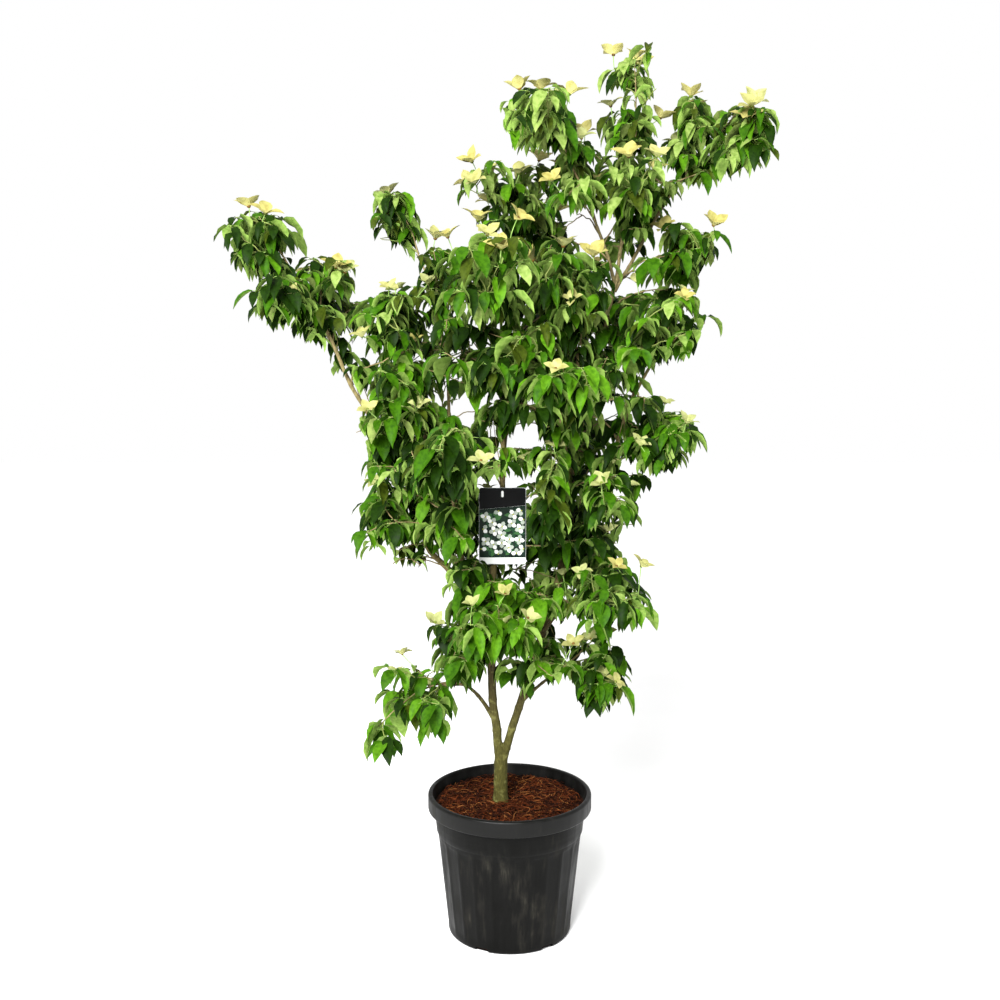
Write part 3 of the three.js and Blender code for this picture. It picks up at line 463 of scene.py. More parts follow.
def bark_finish():
    """Smooth young dogwood bark: olive at the foot, browner and then tan higher up, with fine
    lengthwise fissures, pale lichen patches and small raised pores."""
    made, tree, place = material("young_dogwood_bark")
    height = add(tree, "ShaderNodeSeparateXYZ", {"Vector": place}).outputs["Z"]
    rise = {"Value": height, "From Min": 300 * MM, "From Max": 1750 * MM}
    share = add(tree, "ShaderNodeMapRange", rise).outputs["Result"]
    stops = [(0, 0x4f4c20), (0.12, 0x504d23), (0.2, 0x4a4126), (0.5, 0x81754a), (0.85, 0x94865c)]
    tone = add(tree, "ShaderNodeValToRGB", {"Fac": share}, stops).outputs["Color"]
    # Fissures 2 to 3 mm wide that run five times as long
    stretched = add(tree, "ShaderNodeMapping", {"Vector": place, "Scale": (1, 1, 0.2)}).outputs[0]
    cracks = {"Vector": stretched, "Scale": scale_for(2.63), "Detail": 5, "Roughness": 0.7}
    fissures = add(tree, "ShaderNodeTexNoise", cracks).outputs["Fac"]
    stops = [(0.3, 0x5c5c5c), (0.5, 0xc8c8c8), (0.7, 0xffffff)]
    grain = add(tree, "ShaderNodeValToRGB", {"Fac": fissures}, stops).outputs["Color"]
    # A Mix node of colours has its share at input 0, the colours at 6 and 7, the mix at output 2
    first = {0: 0.8, 6: tone, 7: grain}
    streaked = add(tree, "ShaderNodeMix", first, data_type="RGBA", blend_type="MULTIPLY")
    # Lichen in patches of 13 mm
    patches = {"Vector": place, "Scale": scale_for(13.33), "Detail": 6}
    lichen = add(tree, "ShaderNodeTexNoise", patches).outputs["Fac"]
    stops = [(0.54, 0x000000), (0.66, 0x9a9a9a)]
    cover = add(tree, "ShaderNodeValToRGB", {"Fac": lichen}, stops).outputs["Color"]
    second = {0: cover, 6: streaked.outputs[2], 7: linear(0x87864e)}
    coloured = add(tree, "ShaderNodeMix", second, data_type="RGBA")
    # Pores 5 mm apart, coarser than real ones so that they show
    pores = add(tree, "ShaderNodeTexVoronoi", {"Vector": place, "Scale": scale_for(5.26)})
    raised = {"Value": pores.outputs["Distance"], "From Max": 0.3, "To Min": 1, "To Max": 0}
    dots = add(tree, "ShaderNodeMapRange", raised).outputs["Result"]
    relief = add(tree, "ShaderNodeMath", {0: dots, 1: fissures}, operation="ADD").outputs[0]
    bump = add(tree, "ShaderNodeBump", {"Height": relief, "Strength": 0.8, "Distance": 1.2 * MM})
    return coat(
        made, Base_Color=coloured.outputs[2], Normal=bump.outputs["Normal"], Roughness=0.85,
        Specular_IOR_Level=0.15,
    )


def pot_finish():
    """Injection moulded recycled polypropylene: near black, satin, scuffed, with dried dust
    that has run down it in streaks."""
    made, tree, place = material("moulded_black_polypropylene")
    # Dusty clouds of 110 mm, broken into runs 16 mm wide and 130 mm long
    clouds = add(tree, "ShaderNodeTexNoise", {"Vector": place, "Scale": scale_for(111), "Detail": 6})
    drawn = add(tree, "ShaderNodeMapping", {"Vector": place, "Scale": (1, 1, 0.12)}).outputs[0]
    streaks = {"Vector": drawn, "Scale": scale_for(16.13), "Detail": 4, "Roughness": 0.65}
    runs = add(tree, "ShaderNodeTexNoise", streaks)
    dusty = {0: clouds.outputs["Fac"], 1: runs.outputs["Fac"]}
    dust = add(tree, "ShaderNodeMath", dusty, operation="MULTIPLY").outputs[0]
    stops = [(0.16, 0x040403), (0.27, 0x090908), (0.36, 0x191815), (0.46, 0x33322b)]
    colour = add(tree, "ShaderNodeValToRGB", {"Fac": dust}, stops)
    sheen = {"Value": dust, "From Min": 0.15, "From Max": 0.4, "To Min": 0.36, "To Max": 0.72}
    dulled = add(tree, "ShaderNodeMapRange", sheen)
    # The lip is rubbed clean by hands, so it shines more than the dusty wall
    height = add(tree, "ShaderNodeSeparateXYZ", {"Vector": place}).outputs["Z"]
    rubbed = {
        "Value": height, "From Min": 290 * MM, "From Max": 300 * MM, "To Min": 0.08, "To Max": 0.17,
    }
    clean = add(tree, "ShaderNodeMapRange", rubbed)
    # Mould texture, 1.4 mm from peak to peak
    skin = add(tree, "ShaderNodeTexNoise", {"Vector": place, "Scale": scale_for(1.43), "Detail": 2})
    relief = {"Height": skin.outputs["Fac"], "Strength": 0.12, "Distance": 0.6 * MM}
    bump = add(tree, "ShaderNodeBump", relief)
    return coat(
        made, Base_Color=colour.outputs["Color"], Roughness=dulled.outputs["Result"], IOR=1.49,
        Specular_IOR_Level=clean.outputs["Result"], Normal=bump.outputs["Normal"],
    )


def unit(vectors):
    return vectors / np.linalg.norm(vectors, axis=-1, keepdims=True)


def length_of(path):
    return np.linalg.norm(np.diff(path, axis=0), axis=1).sum()


class Heap:
    """Gathers many small shapes of one kind and joins them as one piece."""

    def __init__(self):
        self.vertices = []
        self.faces = []
        self.finishes = []
        self.count = 0

    def add(self, vertices, *blocks):
        """Vertices as rows, then blocks of faces with as many corners each: the faces as rows
        of vertex numbers, and one finish for all of them or for each."""
        self.vertices.append(vertices)
        for faces, finishes in blocks:
            self.faces.append(faces + self.count)
            self.finishes.append(np.broadcast_to(finishes, len(faces)))
        self.count += len(vertices)

    def piece(self, name, materials, slot, nodes):
        """All that was gathered, as one smooth piece."""
        mesh = bpy.data.meshes.new(name)
        vertices = np.concatenate(self.vertices) * MM
        faces = [face for block in self.faces for face in block.tolist()]
        mesh.from_pydata(vertices.tolist(), [], faces)
        for material in materials:
            mesh.materials.append(material)
        mesh.polygons.foreach_set("material_index", np.concatenate(self.finishes).astype(np.int32))
        mesh.polygons.foreach_set("use_smooth", np.ones(len(faces), dtype=bool))
        mesh.update()
        made = bpy.data.objects.new(name, mesh)
        bpy.context.scene.collection.objects.link(made)
        return declare(made, nodes)


def declare(made, nodes):
    """Rides the plant's one body and stands for its nodes, which it hides."""
    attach(made, "root")
    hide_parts(*nodes)
    return made


def tubes(heap, paths, radii, sides, finishes):
    """Closed tubes along paths of equal length: paths (n, k, 3), radii (n, k)."""
    count, steps = radii.shape
    along = unit(np.gradient(paths, axis=1))
    chord = paths[:, -1] - paths[:, 0]
    reference = np.zeros((count, 1, 3))
    reference[np.arange(count), 0, np.abs(chord).argmin(axis=1)] = 1
    across = unit(np.cross(along, reference))
    outward = np.cross(across, along)
    turn = np.arange(sides) * (2 * math.pi / sides)
    ring = across[:, :, None] * np.cos(turn)[:, None] + outward[:, :, None] * np.sin(turn)[:, None]
    points = paths[:, :, None] + ring * radii[:, :, None, None]
    start = (np.arange(count) * steps * sides)[:, None, None]
    step = (np.arange(steps - 1) * sides)[None, :, None]
    corner = np.arange(sides)[None, None, :]
    following = (corner + 1) % sides
    walls = np.stack(
        [
            start + step + corner, start + step + sides + corner,
            start + step + sides + following, start + step + following,
        ],
        axis=-1,
    )
    each = np.broadcast_to(finishes, count)
    low = start[:, 0] + corner[0]
    high = low[:, ::-1] + (steps - 1) * sides
    heap.add(
        points.reshape(-1, 3), (walls.reshape(-1, 4), each.repeat((steps - 1) * sides)),
        (low, each), (high, each),
    )


# Skeleton of the plant

def seeded(seed, skipped=0):
    """Draws from 0 to 1, the same on every run and the same as the solids', after the skipped."""
    state = seed

    def draw():
        nonlocal state
        state = (1664525 * state + 1013904223) % 2**32
        return state / 2**32

    for _ in range(skipped):
        draw()
    return draw


def curve_through(points):
    """A smooth curve through points, as a function of the share of the way along it."""
    known = np.array(points, dtype=float)
    first = 2 * known[0] - known[1]
    last = 2 * known[-1] - known[-2]
    held = np.vstack([first, known, last])

    def at(share):
        place = min(max(share, 0), 1) * (len(known) - 1)
        index = min(int(place), len(known) - 2)
        t = place - index
        before, start, end, after = held[index:index + 4]
        leaving = 0.5 * (end - before)
        arriving = 0.5 * (after - start)
        square = -3 * start + 3 * end - 2 * leaving - arriving
        cube = 2 * start - 2 * end + leaving + arriving
        return start + leaving * t + square * t**2 + cube * t**3

    return at


def bent(foot, bend, end):
    """A curve from foot to end that is drawn towards bend."""
    return lambda t: (1 - t) ** 2 * foot + 2 * t * (1 - t) * bend + t**2 * end


def straight(foot, end):
    return lambda t: foot + (end - foot) * t


def share_at_height(curve, height):
    low, high = 0, 1
    for _ in range(30):
        middle = (low + high) / 2
        if curve(middle)[2] < height:
            low = middle
        else:
            high = middle
    return (low + high) / 2


def direction_at(curve, share):
    return unit(curve(min(1, share + 0.01)) - curve(max(0, share - 0.01)))


def sampled(curve, count):
    return np.array([curve(step / (count - 1)) for step in range(count)])


limb_curves = {"trunk": curve_through(TRUNK_PATH)}
limb_radii = {"trunk": (TRUNK_FOOT_RADIUS, TRUNK_TOP_RADIUS)}
for limb, (parent, height, foot, tip, through) in LIMBS.items():
    start = limb_curves[parent](share_at_height(limb_curves[parent], height))
    limb_curves[limb] = curve_through([start, *through])
    limb_radii[limb] = (foot, tip)


def end_at(mass, share_x, share_y, share_z):
    """A place for a shoot's end, with room about it for its leaves."""
    _, _, centre, reach = MASSES[mass]
    low = min(ROOM_BELOW - reach[2], reach[2] - ROOM_ABOVE - LEAST_ROOM)
    high = reach[2] - ROOM_ABOVE
    return np.array([
        centre[0] + max(LEAST_ROOM, reach[0] - ROOM_AROUND) * share_x,
        centre[1] + max(LEAST_ROOM, reach[1] - ROOM_AROUND) * share_y,
        centre[2] + low + (high - low) * share_z,
    ])


def stem_curve(mass, draw):
    limb, height, _, _ = MASSES[mass]
    curve = limb_curves[limb]
    share = 1 if height is None else share_at_height(curve, height)
    foot = curve(share)
    aside = [STEM_END_SIDESTEP * (draw() - 0.5) for _ in range(2)]
    end = end_at(mass, *aside, STEM_END_SHARE)
    bend = foot + direction_at(curve, share) * (STEM_BEND * np.linalg.norm(end - foot))
    return bent(foot, bend, end)


stems = {
    mass: stem_curve(mass, seeded(FIRST_SEED + SEED_STEP * index))
    for index, mass in enumerate(MASSES)
}

# What foliage keeps clear of: the centre lines of limbs and stems as short spans
obstacle_starts, obstacle_ends, obstacle_radii, obstacle_owners = [], [], [], []
for owner, curve, (foot, tip), spans in [
    ("trunk", limb_curves["trunk"], limb_radii["trunk"], 4),
    *((limb, limb_curves[limb], limb_radii[limb], 6 * len(LIMBS[limb][4])) for limb in LIMBS),
    *((mass, stems[mass], (STEM_FOOT_RADIUS, STEM_END_RADIUS), 6) for mass in MASSES),
]:
    points = sampled(curve, spans + 1)
    obstacle_starts.extend(points[:-1])
    obstacle_ends.extend(points[1:])
    obstacle_radii.extend(foot + (tip - foot) * i / spans for i in range(spans))
    obstacle_owners.extend([owner] * spans)
obstacle_starts = np.array(obstacle_starts)
obstacle_spans = np.array(obstacle_ends) - obstacle_starts
obstacle_radii = np.array(obstacle_radii)
obstacle_owners = np.array(obstacle_owners)
span_squares = (obstacle_spans**2).sum(axis=1)

mass_names = list(MASSES)
mass_centres = np.array([MASSES[mass][2] for mass in mass_names], dtype=float)
mass_reaches = np.array([MASSES[mass][3] for mass in mass_names], dtype=float)


def depths_at(point):
    """How deep a point lies in each mass's space: 0 is its centre and 1 its edge."""
    shares = np.abs(point - mass_centres) / mass_reaches
    return (shares**SPACE_POWER).sum(axis=1) ** (1 / SPACE_POWER)


def in_own_space(mass, point):
    """Whether a point lies in a mass's space, and not clearly deeper in another's."""
    depths = depths_at(point)
    own = mass_names.index(mass)
    others = np.delete(depths, own)
    return depths[own] <= SPACE_EDGE and (others > depths[own] + SPACE_MARGIN).all()


def clear_of_limbs(mass, point):
    """Whether a point keeps off all limbs and off other masses' stems."""
    shares = ((point - obstacle_starts) * obstacle_spans).sum(axis=1) / span_squares
    nearest = obstacle_starts + obstacle_spans * np.clip(shares, 0, 1)[:, None]
    distances = np.linalg.norm(nearest - point, axis=1)
    return ((obstacle_owners == mass) | (distances > obstacle_radii + TOUCH_MARGIN)).all()


def fits(mass, points):
    return all(in_own_space(mass, point) and clear_of_limbs(mass, point) for point in points)


def seen(point):
    """Where the camera sees a point, on the upright plane through the trunk."""
    scale = CAMERA_BACK / (CAMERA_BACK + point[1])
    return CAMERA_X + (point[0] - CAMERA_X) * scale, CAMERA_Z + (point[2] - CAMERA_Z) * scale


def open_there(point):
    """Whether the camera sees sky at a point, or the point hides the label."""
    x, z = seen(point)
    (left, right), (low, high) = LABEL_SEEN
    if left < x < right and low < z < high and point[1] < LABEL_FRONT:
        return True
    return (np.hypot(OPENINGS[:, 0] - x, OPENINGS[:, 1] - z) < OPENINGS[:, 2]).any()


def apart(end, ends, distance):
    return (np.linalg.norm(np.array(ends) - end, axis=1) > distance).all()


def shoots_of(mass, draw):
    """The shoots of the solids: straight ones that leave the stem below their own ends."""
    stem = stems[mass]
    reach = MASSES[mass][3]
    size = np.cbrt(reach[0] * reach[1] * reach[2]) / MASS_SIZE_PER_SHOOT
    count = min(SHOOTS_AT_MOST, max(2, math.floor(size * size + 0.5)))
    ends, shoots = [stem(1)], []
    for _ in range(SHOOT_ATTEMPTS):
        if len(ends) >= count:
            break
        end = end_at(mass, 2 * draw() - 1, 2 * draw() - 1, draw())
        nearest = stem(SHOOT_RISE_FROM)
        rise = SHOOT_RISE * math.hypot(end[0] - nearest[0], end[1] - nearest[1])
        least, most = SHOOT_LEAVES_STEM
        share = min(most, max(least, share_at_height(stem, end[2] - rise)))
        shoot = straight(stem(share), end)
        if apart(end, ends, ENDS_APART) and fits(mass, [shoot(s) for s in SHOOT_CHECKS]):
            ends.append(end)
            shoots.append(shoot)
    return shoots


def twig_to(end, twigs, first_share):
    """A twig to an end, from the nearest place below it on the given twigs or limbs."""
    step = (LAST_FORK - first_share) / (FORK_PLACES - 1)
    forks = [(twig, first_share + step * index) for twig in twigs for index in range(FORK_PLACES)]
    gaps = end - np.array([twig(share) for twig, share in forks])
    low = np.clip(LEAST_RISE * np.hypot(gaps[:, 0], gaps[:, 1]) - gaps[:, 2], 0, None)
    twig, share = forks[int(np.argmin(np.linalg.norm(gaps, axis=1) + LOW_FORK_COST * low))]
    foot = twig(share)
    reach = np.linalg.norm(end - foot)
    leaving = direction_at(twig, share) * FORK_FOLLOWS + unit(end - foot) * FORK_AIMS
    return bent(foot, foot + leaving * reach, end)


def fine_twigs_of(mass, twigs, draw):
    """Finer twigs to further ends in the mass's space."""
    _, _, centre, reach = MASSES[mass]
    ends = [twig(1) for twig in twigs]
    grown = []
    wanted = round(FINE_PER_SHOOT * SPARSE_MASSES.get(mass, 1) * len(twigs))
    for _ in range(FINE_ATTEMPTS):
        if len(grown) >= wanted:
            break
        low, high = FINE_ROOM_BELOW - reach[2], reach[2] - FINE_ROOM_ABOVE
        end = np.array(centre, dtype=float) + [
            (2 * draw() - 1) * (reach[0] - FINE_ROOM_AROUND),
            (2 * draw() - 1) * (reach[1] - FINE_ROOM_AROUND),
            low + (high - low) * draw(),
        ]
        if apart(end, ends, FINE_ENDS_APART) and fits(mass, [end]) and not open_there(end):
            grown.append(twig_to(end, twigs, FIRST_FORK))
            ends.append(end)
    return grown


# Blades: leaves and bracts

BLADE_THICKNESS = 0.012
CURL_POWER = 0.75
SWAY_POWER = 1.5
RIPPLES = 13
RIPPLE_START = 5


class Blades:
    """Thin closed blades with a rib, two folded halves and a shared margin. Each is laid along
    an azimuth and turns from its first slope to its last, both measured down from level."""

    def __init__(self, stations, widths):
        self.shares = np.array(stations)
        self.widths = np.array(widths)

    def shape(self, roots, azimuths, firsts, lasts, lengths, halves, folds, rolls, sways, waves):
        """Vertices (n, 2 + 4 k, 3): root, tip, then left edge, right edge, rib and underside."""
        shares = self.shares[None, :]
        down = firsts[:, None] + (lasts - firsts)[:, None] * shares**CURL_POWER
        turn = azimuths[:, None] + sways[:, None] * shares**SWAY_POWER
        flat = np.cos(down)
        along = np.stack([flat * np.cos(turn), flat * np.sin(turn), -np.sin(down)], axis=-1)
        above = np.stack(
            [np.sin(down) * np.cos(turn), np.sin(down) * np.sin(turn), np.cos(down)], axis=-1,
        )
        aside = np.stack([-np.sin(turn), np.cos(turn), np.zeros_like(turn)], axis=-1)
        roll = rolls[:, None, None]
        side = np.cos(roll) * aside + np.sin(roll) * above
        up = np.cos(roll) * above - np.sin(roll) * aside
        middle = (along[:, 1:] + along[:, :-1]) / 2
        steps = middle * (np.diff(self.shares)[None, :, None] * lengths[:, None, None])
        rib = roots[:, None] + np.concatenate([np.zeros_like(steps[:, :1]), steps.cumsum(axis=1)], 1)
        half = (halves[:, None] * self.widths[None, :])[..., None]
        fold = folds[:, None, None]
        phases = np.linspace(0, 2 * math.pi, len(lengths), endpoint=False)[:, None]
        ripple = np.sin(RIPPLES * shares + RIPPLE_START * phases)[..., None]
        ripple = ripple * waves[:, None, None] * half
        left = rib + (side * np.cos(fold) + up * np.sin(fold)) * half + up * ripple
        right = rib + (up * np.sin(fold) - side * np.cos(fold)) * half - up * ripple
        under = rib - up * (BLADE_THICKNESS * lengths[:, None, None])
        inner = np.stack([left, right, rib, under], axis=2)[:, 1:-1]
        count = len(lengths)
        ends = np.stack([rib[:, 0], rib[:, -1]], axis=1)
        return np.concatenate([ends, inner.reshape(count, -1, 3)], axis=1)

    def faces(self):
        """The triangles of one blade, with 0 for its upper side and 1 for below."""
        steps = len(self.shares) - 2
        triangles, sides = [], []
        for lower, spine in ((0, 2), (1, 3)):
            for edge in (0, 1):
                turned = (edge == 0) == (lower == 0)
                last = 2 + 4 * (steps - 1)
                strip = [[0, 2 + spine, 2 + edge], [last + spine, 1, last + edge]]
                for step in range(steps - 1):
                    near, far = 2 + 4 * step, 6 + 4 * step
                    strip.append([near + spine, far + spine, far + edge])
                    strip.append([near + spine, far + edge, near + edge])
                triangles.extend(face if turned else face[::-1] for face in strip)
                sides.extend([lower] * len(strip))
        return np.array(triangles), np.array(sides)

    def heap(self, heap, vertices, above, below):
        """Adds blades to a heap, each with the numbers of its upper and lower finish."""
        count, corners = vertices.shape[:2]
        triangles, sides = self.faces()
        offset = (np.arange(count) * corners)[:, None, None]
        finishes = np.stack([above, below], axis=1)[:, sides]
        placed = (triangles[None] + offset).reshape(-1, 3)
        heap.add(vertices.reshape(-1, 3), (placed, finishes.reshape(-1)))


def crease_margins(piece, blade):
    """Keeps the two sides of each blade apart in shading, along root, margin and tip."""
    mesh = piece.data
    corners = 4 * len(blade.shares) - 6
    pairs = np.empty(len(mesh.edges) * 2, dtype=np.int32)
    mesh.edges.foreach_get("vertices", pairs)
    places = pairs.reshape(-1, 2) % corners
    on_margin = (places < 2) | ((places - 2) % 4 < 2)
    sharp = mesh.attributes.new("sharp_edge", "BOOLEAN", "EDGE")
    sharp.data.foreach_set("value", on_margin.all(axis=1))


LEAF = Blades(
    [0, 0.12, 0.3, 0.5, 0.7, 0.87, 1],
    [0, 0.62, 0.97, 0.96, 0.68, 0.28, 0],
)
BRACT = Blades(
    [0, 0.14, 0.32, 0.5, 0.7, 0.87, 1],
    [0, 0.5, 0.9, 1, 0.74, 0.34, 0],
)

# Finishes

# Deep green, where leaf_palette deals it out inside and under a mass, is painted shade; the sunlit pale
# is painted sunlight
leaf_tops = [
    leaf_finish("dogwood_leaf_deep_green", 0x152b02, 0x0b1d01, 0.5),
    leaf_finish("dogwood_leaf_green", 0x315706, 0x1f4003, 0.5),
    leaf_finish("dogwood_leaf_fresh_green", 0x48730f, 0x335907, 0.5),
    leaf_finish("dogwood_leaf_sunlit_pale", 0x7b8f4a, 0x5b732d, 0.55),
    leaf_finish("dogwood_leaf_olive", 0x36430c, 0x232f06, 0.5),
]
leaf_undersides = [
    leaf_finish("dogwood_leaf_underside_green", 0x7d9947, 0x5f7d32, 0.66),
    leaf_finish("dogwood_leaf_underside_dull", 0x788947, 0x5c6d33, 0.66),
]
# The last three are lighter copies for the bracts' undersides: painted light that lifts the shade
# beneath them
bracts = [
    bract_finish("dogwood_bract_cream_green", 0x999d66, 0x83884e),
    bract_finish("dogwood_bract_cream", 0x9c9b60, 0x868549),
    bract_finish("dogwood_bract_buff", 0x9d9756, 0x877f40),
    bract_finish("dogwood_bract_painted_light_underside_cream_green", 0xc0c682, 0xaab268),
    bract_finish("dogwood_bract_painted_light_underside_cream", 0xc6c784, 0xb2b26c),
    bract_finish("dogwood_bract_painted_light_underside_buff", 0xc9c37c, 0xb5ad64),
]
flower_heads = [
    twig_finish("dogwood_flower_head_green", 0x6f7d2c, 0x3d4a18),
    twig_finish("dogwood_flower_head_brown", 0x7a5a24, 0x46310f),
]
twig_barks = [
    twig_finish("second_year_dogwood_twig_bark", 0x8f8058, 0x625436),
    twig_finish("young_dogwood_shoot_bark", 0x7f8a48, 0x5c6430),
    twig_finish("dogwood_leaf_stalk", 0x8fae5c, 0x6d9040),
]
# Places of finishes in these lists
OLIVE_LEAF = 4
OLD_BARK, YOUNG_BARK, STALK_SKIN = range(3)


# Twigs, leaves and blossom

def tapered(steps, foot, tip):
    return np.linspace(foot, tip, steps)


def downward(azimuth, slope):
    """The direction at an azimuth and a slope below level."""
    flat = math.cos(slope)
    return np.array([flat * math.cos(azimuth), flat * math.sin(azimuth), -math.sin(slope)])


growth = np.random.default_rng(20)
twig_heap, stalk_heap, bract_heap, head_heap = Heap(), Heap(), Heap(), Heap()
leaf_rows = {mass: [] for mass in MASSES}
stalk_paths, tips, blossom_rows = [], [], []


def leaf_palette(mass, end):
    """The shares of deep, plain, fresh, pale and olive leaves at a twig's end: deep green inside
    and under a mass as painted shade, and more of the sunlit pale, painted sunlight, in the top
    masses."""
    _, _, centre, reach = MASSES[mass]
    place = (end - centre) / reach
    if mass in LOW_MASSES:
        return np.array([0.14, 0.5, 0.34, 0, 0.02])
    # Painted sunlight: in the top masses a quarter of the leaves take the sunlit pale
    if mass in TOP_MASSES:
        return np.array([0.24, 0.28, 0.12, 0.26, 0.1])
    # Painted shade: deep inside a mass or low in it, most leaves take the deep green
    if np.abs(place).max() < 0.5 or place[2] < -0.5:
        return np.array([0.74, 0.18, 0.02, 0, 0.06])
    if mass in OLIVE_MASSES:
        return np.array([0.36, 0.28, 0.09, 0.09, 0.18])
    return np.array([0.31, 0.41, 0.17, 0.07, 0.04])


def leaf(mass, root, azimuth, size, first, last, green):
    """One leaf on its stalk, unless its middle or tip would hide an opening."""
    stalk = growth.uniform(*PETIOLE) * size
    base = root + stalk * downward(azimuth, first - PETIOLE_LIFT)
    length = growth.uniform(*LEAF_LENGTH) * size
    half = length * growth.uniform(*LEAF_WIDTH_SHARE) / 2
    blade = length * downward(azimuth, (first + last) / 2)
    if open_there(base + 0.5 * blade) or open_there(base + 0.9 * blade):
        return
    turn = azimuth + growth.normal(0, 0.12)
    fold, roll, sway = growth.uniform(0.15, 0.85), growth.normal(0, 0.32), growth.normal(0, 0.35)
    wave = growth.uniform(0.02, 0.14)
    leaf_rows[mass].append((base, turn, first, last, length, half, fold, roll, sway, wave, green))
    stalk_paths.append(np.array([root, base]))


def leaf_pair(mass, twig, share, azimuth, size, droop, greens):
    """Two opposite leaves at a node of a twig."""
    for hand in (0, math.pi):
        first = growth.uniform(-0.1, 0.5) + droop
        last = growth.uniform(0.95, 1.6) + 0.25 * droop
        turn = azimuth + hand + growth.normal(0, 0.2)
        green = growth.choice(len(greens), p=greens)
        leaf(mass, twig(share), turn, size * growth.uniform(0.88, 1.08), first, last, green)


def whorl(mass, twig, length):
    """The leaves at a twig's end: more than half are of one green, and lower pairs droop more."""
    palette = leaf_palette(mass, twig(1))
    main = growth.choice(len(palette), p=palette)
    greens = 0.45 * palette
    greens[main] += 0.55
    azimuth = growth.uniform(0, math.pi)
    vigour = growth.uniform(0.84, 1.12) * LARGE_LEAVED.get(mass, 1)
    pairs = growth.choice([3, 4, 5], p=[0.25, 0.5, 0.25])
    below = 1.5
    for pair in range(pairs):
        share = max(0.12, 1 - below / length)
        leaf_pair(mass, twig, share, azimuth, vigour * PAIR_SIZES[pair], 0.1 * pair, greens)
        azimuth += math.pi / 2 + growth.normal(0, 0.15)
        below += PAIR_GAPS[pair] * growth.uniform(0.8, 1.3)


def leafy_twig(mass, twig, foot_radius, bark):
    """One twig with its leaves, whose end is kept for the blossoms."""
    path = sampled(twig, TWIG_STEPS)
    length = length_of(path)
    path[1:-1] += growth.normal(0, min(TWIG_WOBBLE, 0.012 * length), (TWIG_STEPS - 2, 3))
    radii = tapered(TWIG_STEPS, foot_radius, TWIG_TIP_RADIUS)
    tubes(twig_heap, path[None], radii[None], TWIG_SIDES, bark)
    whorl(mass, twig, length)
    tips.append((mass, twig(1)))


def nearest_mass(point):
    return mass_names[int(depths_at(point).argmin())]


def inner_end(curve, step, length):
    """A free end beside one step along a limb, or None."""
    for _ in range(INNER_ATTEMPTS):
        share = min(INNER_LAST_SHARE, (step + growth.uniform(0.4, 1)) * INNER_STEP / length)
        aside = downward(growth.uniform(0, 2 * math.pi), 0) * growth.uniform(*INNER_REACH)
        end = curve(share) + aside + [0, 0, growth.uniform(*INNER_RISE)]
        inside = depths_at(end).min() < INNER_DEPTH and end[2] > INNER_LOWEST
        if inside and not open_there(end) and apart(end, [tip for _, tip in tips], INNER_ENDS_APART):
            return end
    return None


def inner_shoots(curve):
    """Leafy shoots with side twigs, straight out of a limb."""
    length = length_of(sampled(curve, 30))
    for step in range(int(length / INNER_STEP)):
        end = inner_end(curve, step, length)
        if end is None:
            continue
        mass = nearest_mass(end)
        shoot = twig_to(end, [curve], INNER_FIRST_FORK)
        leafy_twig(mass, shoot, SHOOT_RADIUS, OLD_BARK)
        for _ in range(INNER_SIDE_TWIGS):
            side_end = end + growth.normal(0, 1, 3) * INNER_SPREAD
            if not open_there(side_end):
                leafy_twig(mass, twig_to(side_end, [shoot], FIRST_FORK), FINE_RADIUS, OLD_BARK)


def spare_shoot(curve, height):
    """A thin shoot out of a limb with two pairs of small leaves at its tip."""
    share = share_at_height(curve, height)
    foot = curve(share)
    lean = direction_at(curve, share) * 0.8 + growth.normal(0, 0.4, 3)
    end = foot + unit(lean + [0, 0, 0.5]) * growth.uniform(*SPARE_LENGTH)
    if open_there(end) or open_there((foot + end) / 2):
        return
    mass = nearest_mass(end)
    spare = bent(foot, (foot + end) / 2 + growth.normal(0, 9, 3), end)
    radii = tapered(TWIG_STEPS, FINE_RADIUS, 0.7 * TWIG_TIP_RADIUS)
    tubes(twig_heap, sampled(spare, TWIG_STEPS)[None], radii[None], TWIG_SIDES, OLD_BARK)
    greens = leaf_palette(mass, end)
    turn = growth.uniform(0, math.pi)
    leaf_pair(mass, spare, 0.97, turn, growth.uniform(0.6, 0.9), 0.1, greens)
    leaf_pair(mass, spare, 0.9, turn + 1.6, growth.uniform(0.6, 0.9), 0.2, greens)


for index, mass in enumerate(MASSES):
    shoots = shoots_of(mass, seeded(FIRST_SEED + SEED_STEP * index + SHOOT_SEED_STEP, 2))
    shoots = [shoot for shoot in shoots if not open_there(shoot(1))]
    fine = fine_twigs_of(mass, [stems[mass], *shoots], seeded(FINE_SEED_STEP + SEED_STEP * index))
    leafy_twig(mass, stems[mass], STEM_FOOT_RADIUS, OLD_BARK)
    for twig in shoots:
        leafy_twig(mass, twig, SHOOT_RADIUS, YOUNG_BARK)
    for twig in fine:
        leafy_twig(mass, twig, FINE_RADIUS, YOUNG_BARK)
for limb in LIMBS:
    inner_shoots(limb_curves[limb])
for limb, (count, low, high) in SPARE_SHOOTS.items():
    for index in range(count):
        spare_shoot(limb_curves[limb], low + (high - low) * (index + growth.uniform()) / count)

# Blossoms: first where the photo shows them, then here and there over the rest of the crown. They
# lean away from their mass's centre and a little to the front
blossom_random = np.random.default_rng(21)
feet = np.array([foot for _, foot in tips])
lean = feet - np.array([MASSES[mass][2] for mass, _ in tips]) - [0, LEAN_FORWARD, 0]
lean = lean[:, :2] / LEAN_DISTANCE + blossom_random.normal(0, 0.2, (len(tips), 2))
uprights = unit(np.column_stack([lean, np.ones(len(tips))]))
camera_place = np.array([CAMERA_X, -CAMERA_BACK, CAMERA_Z])


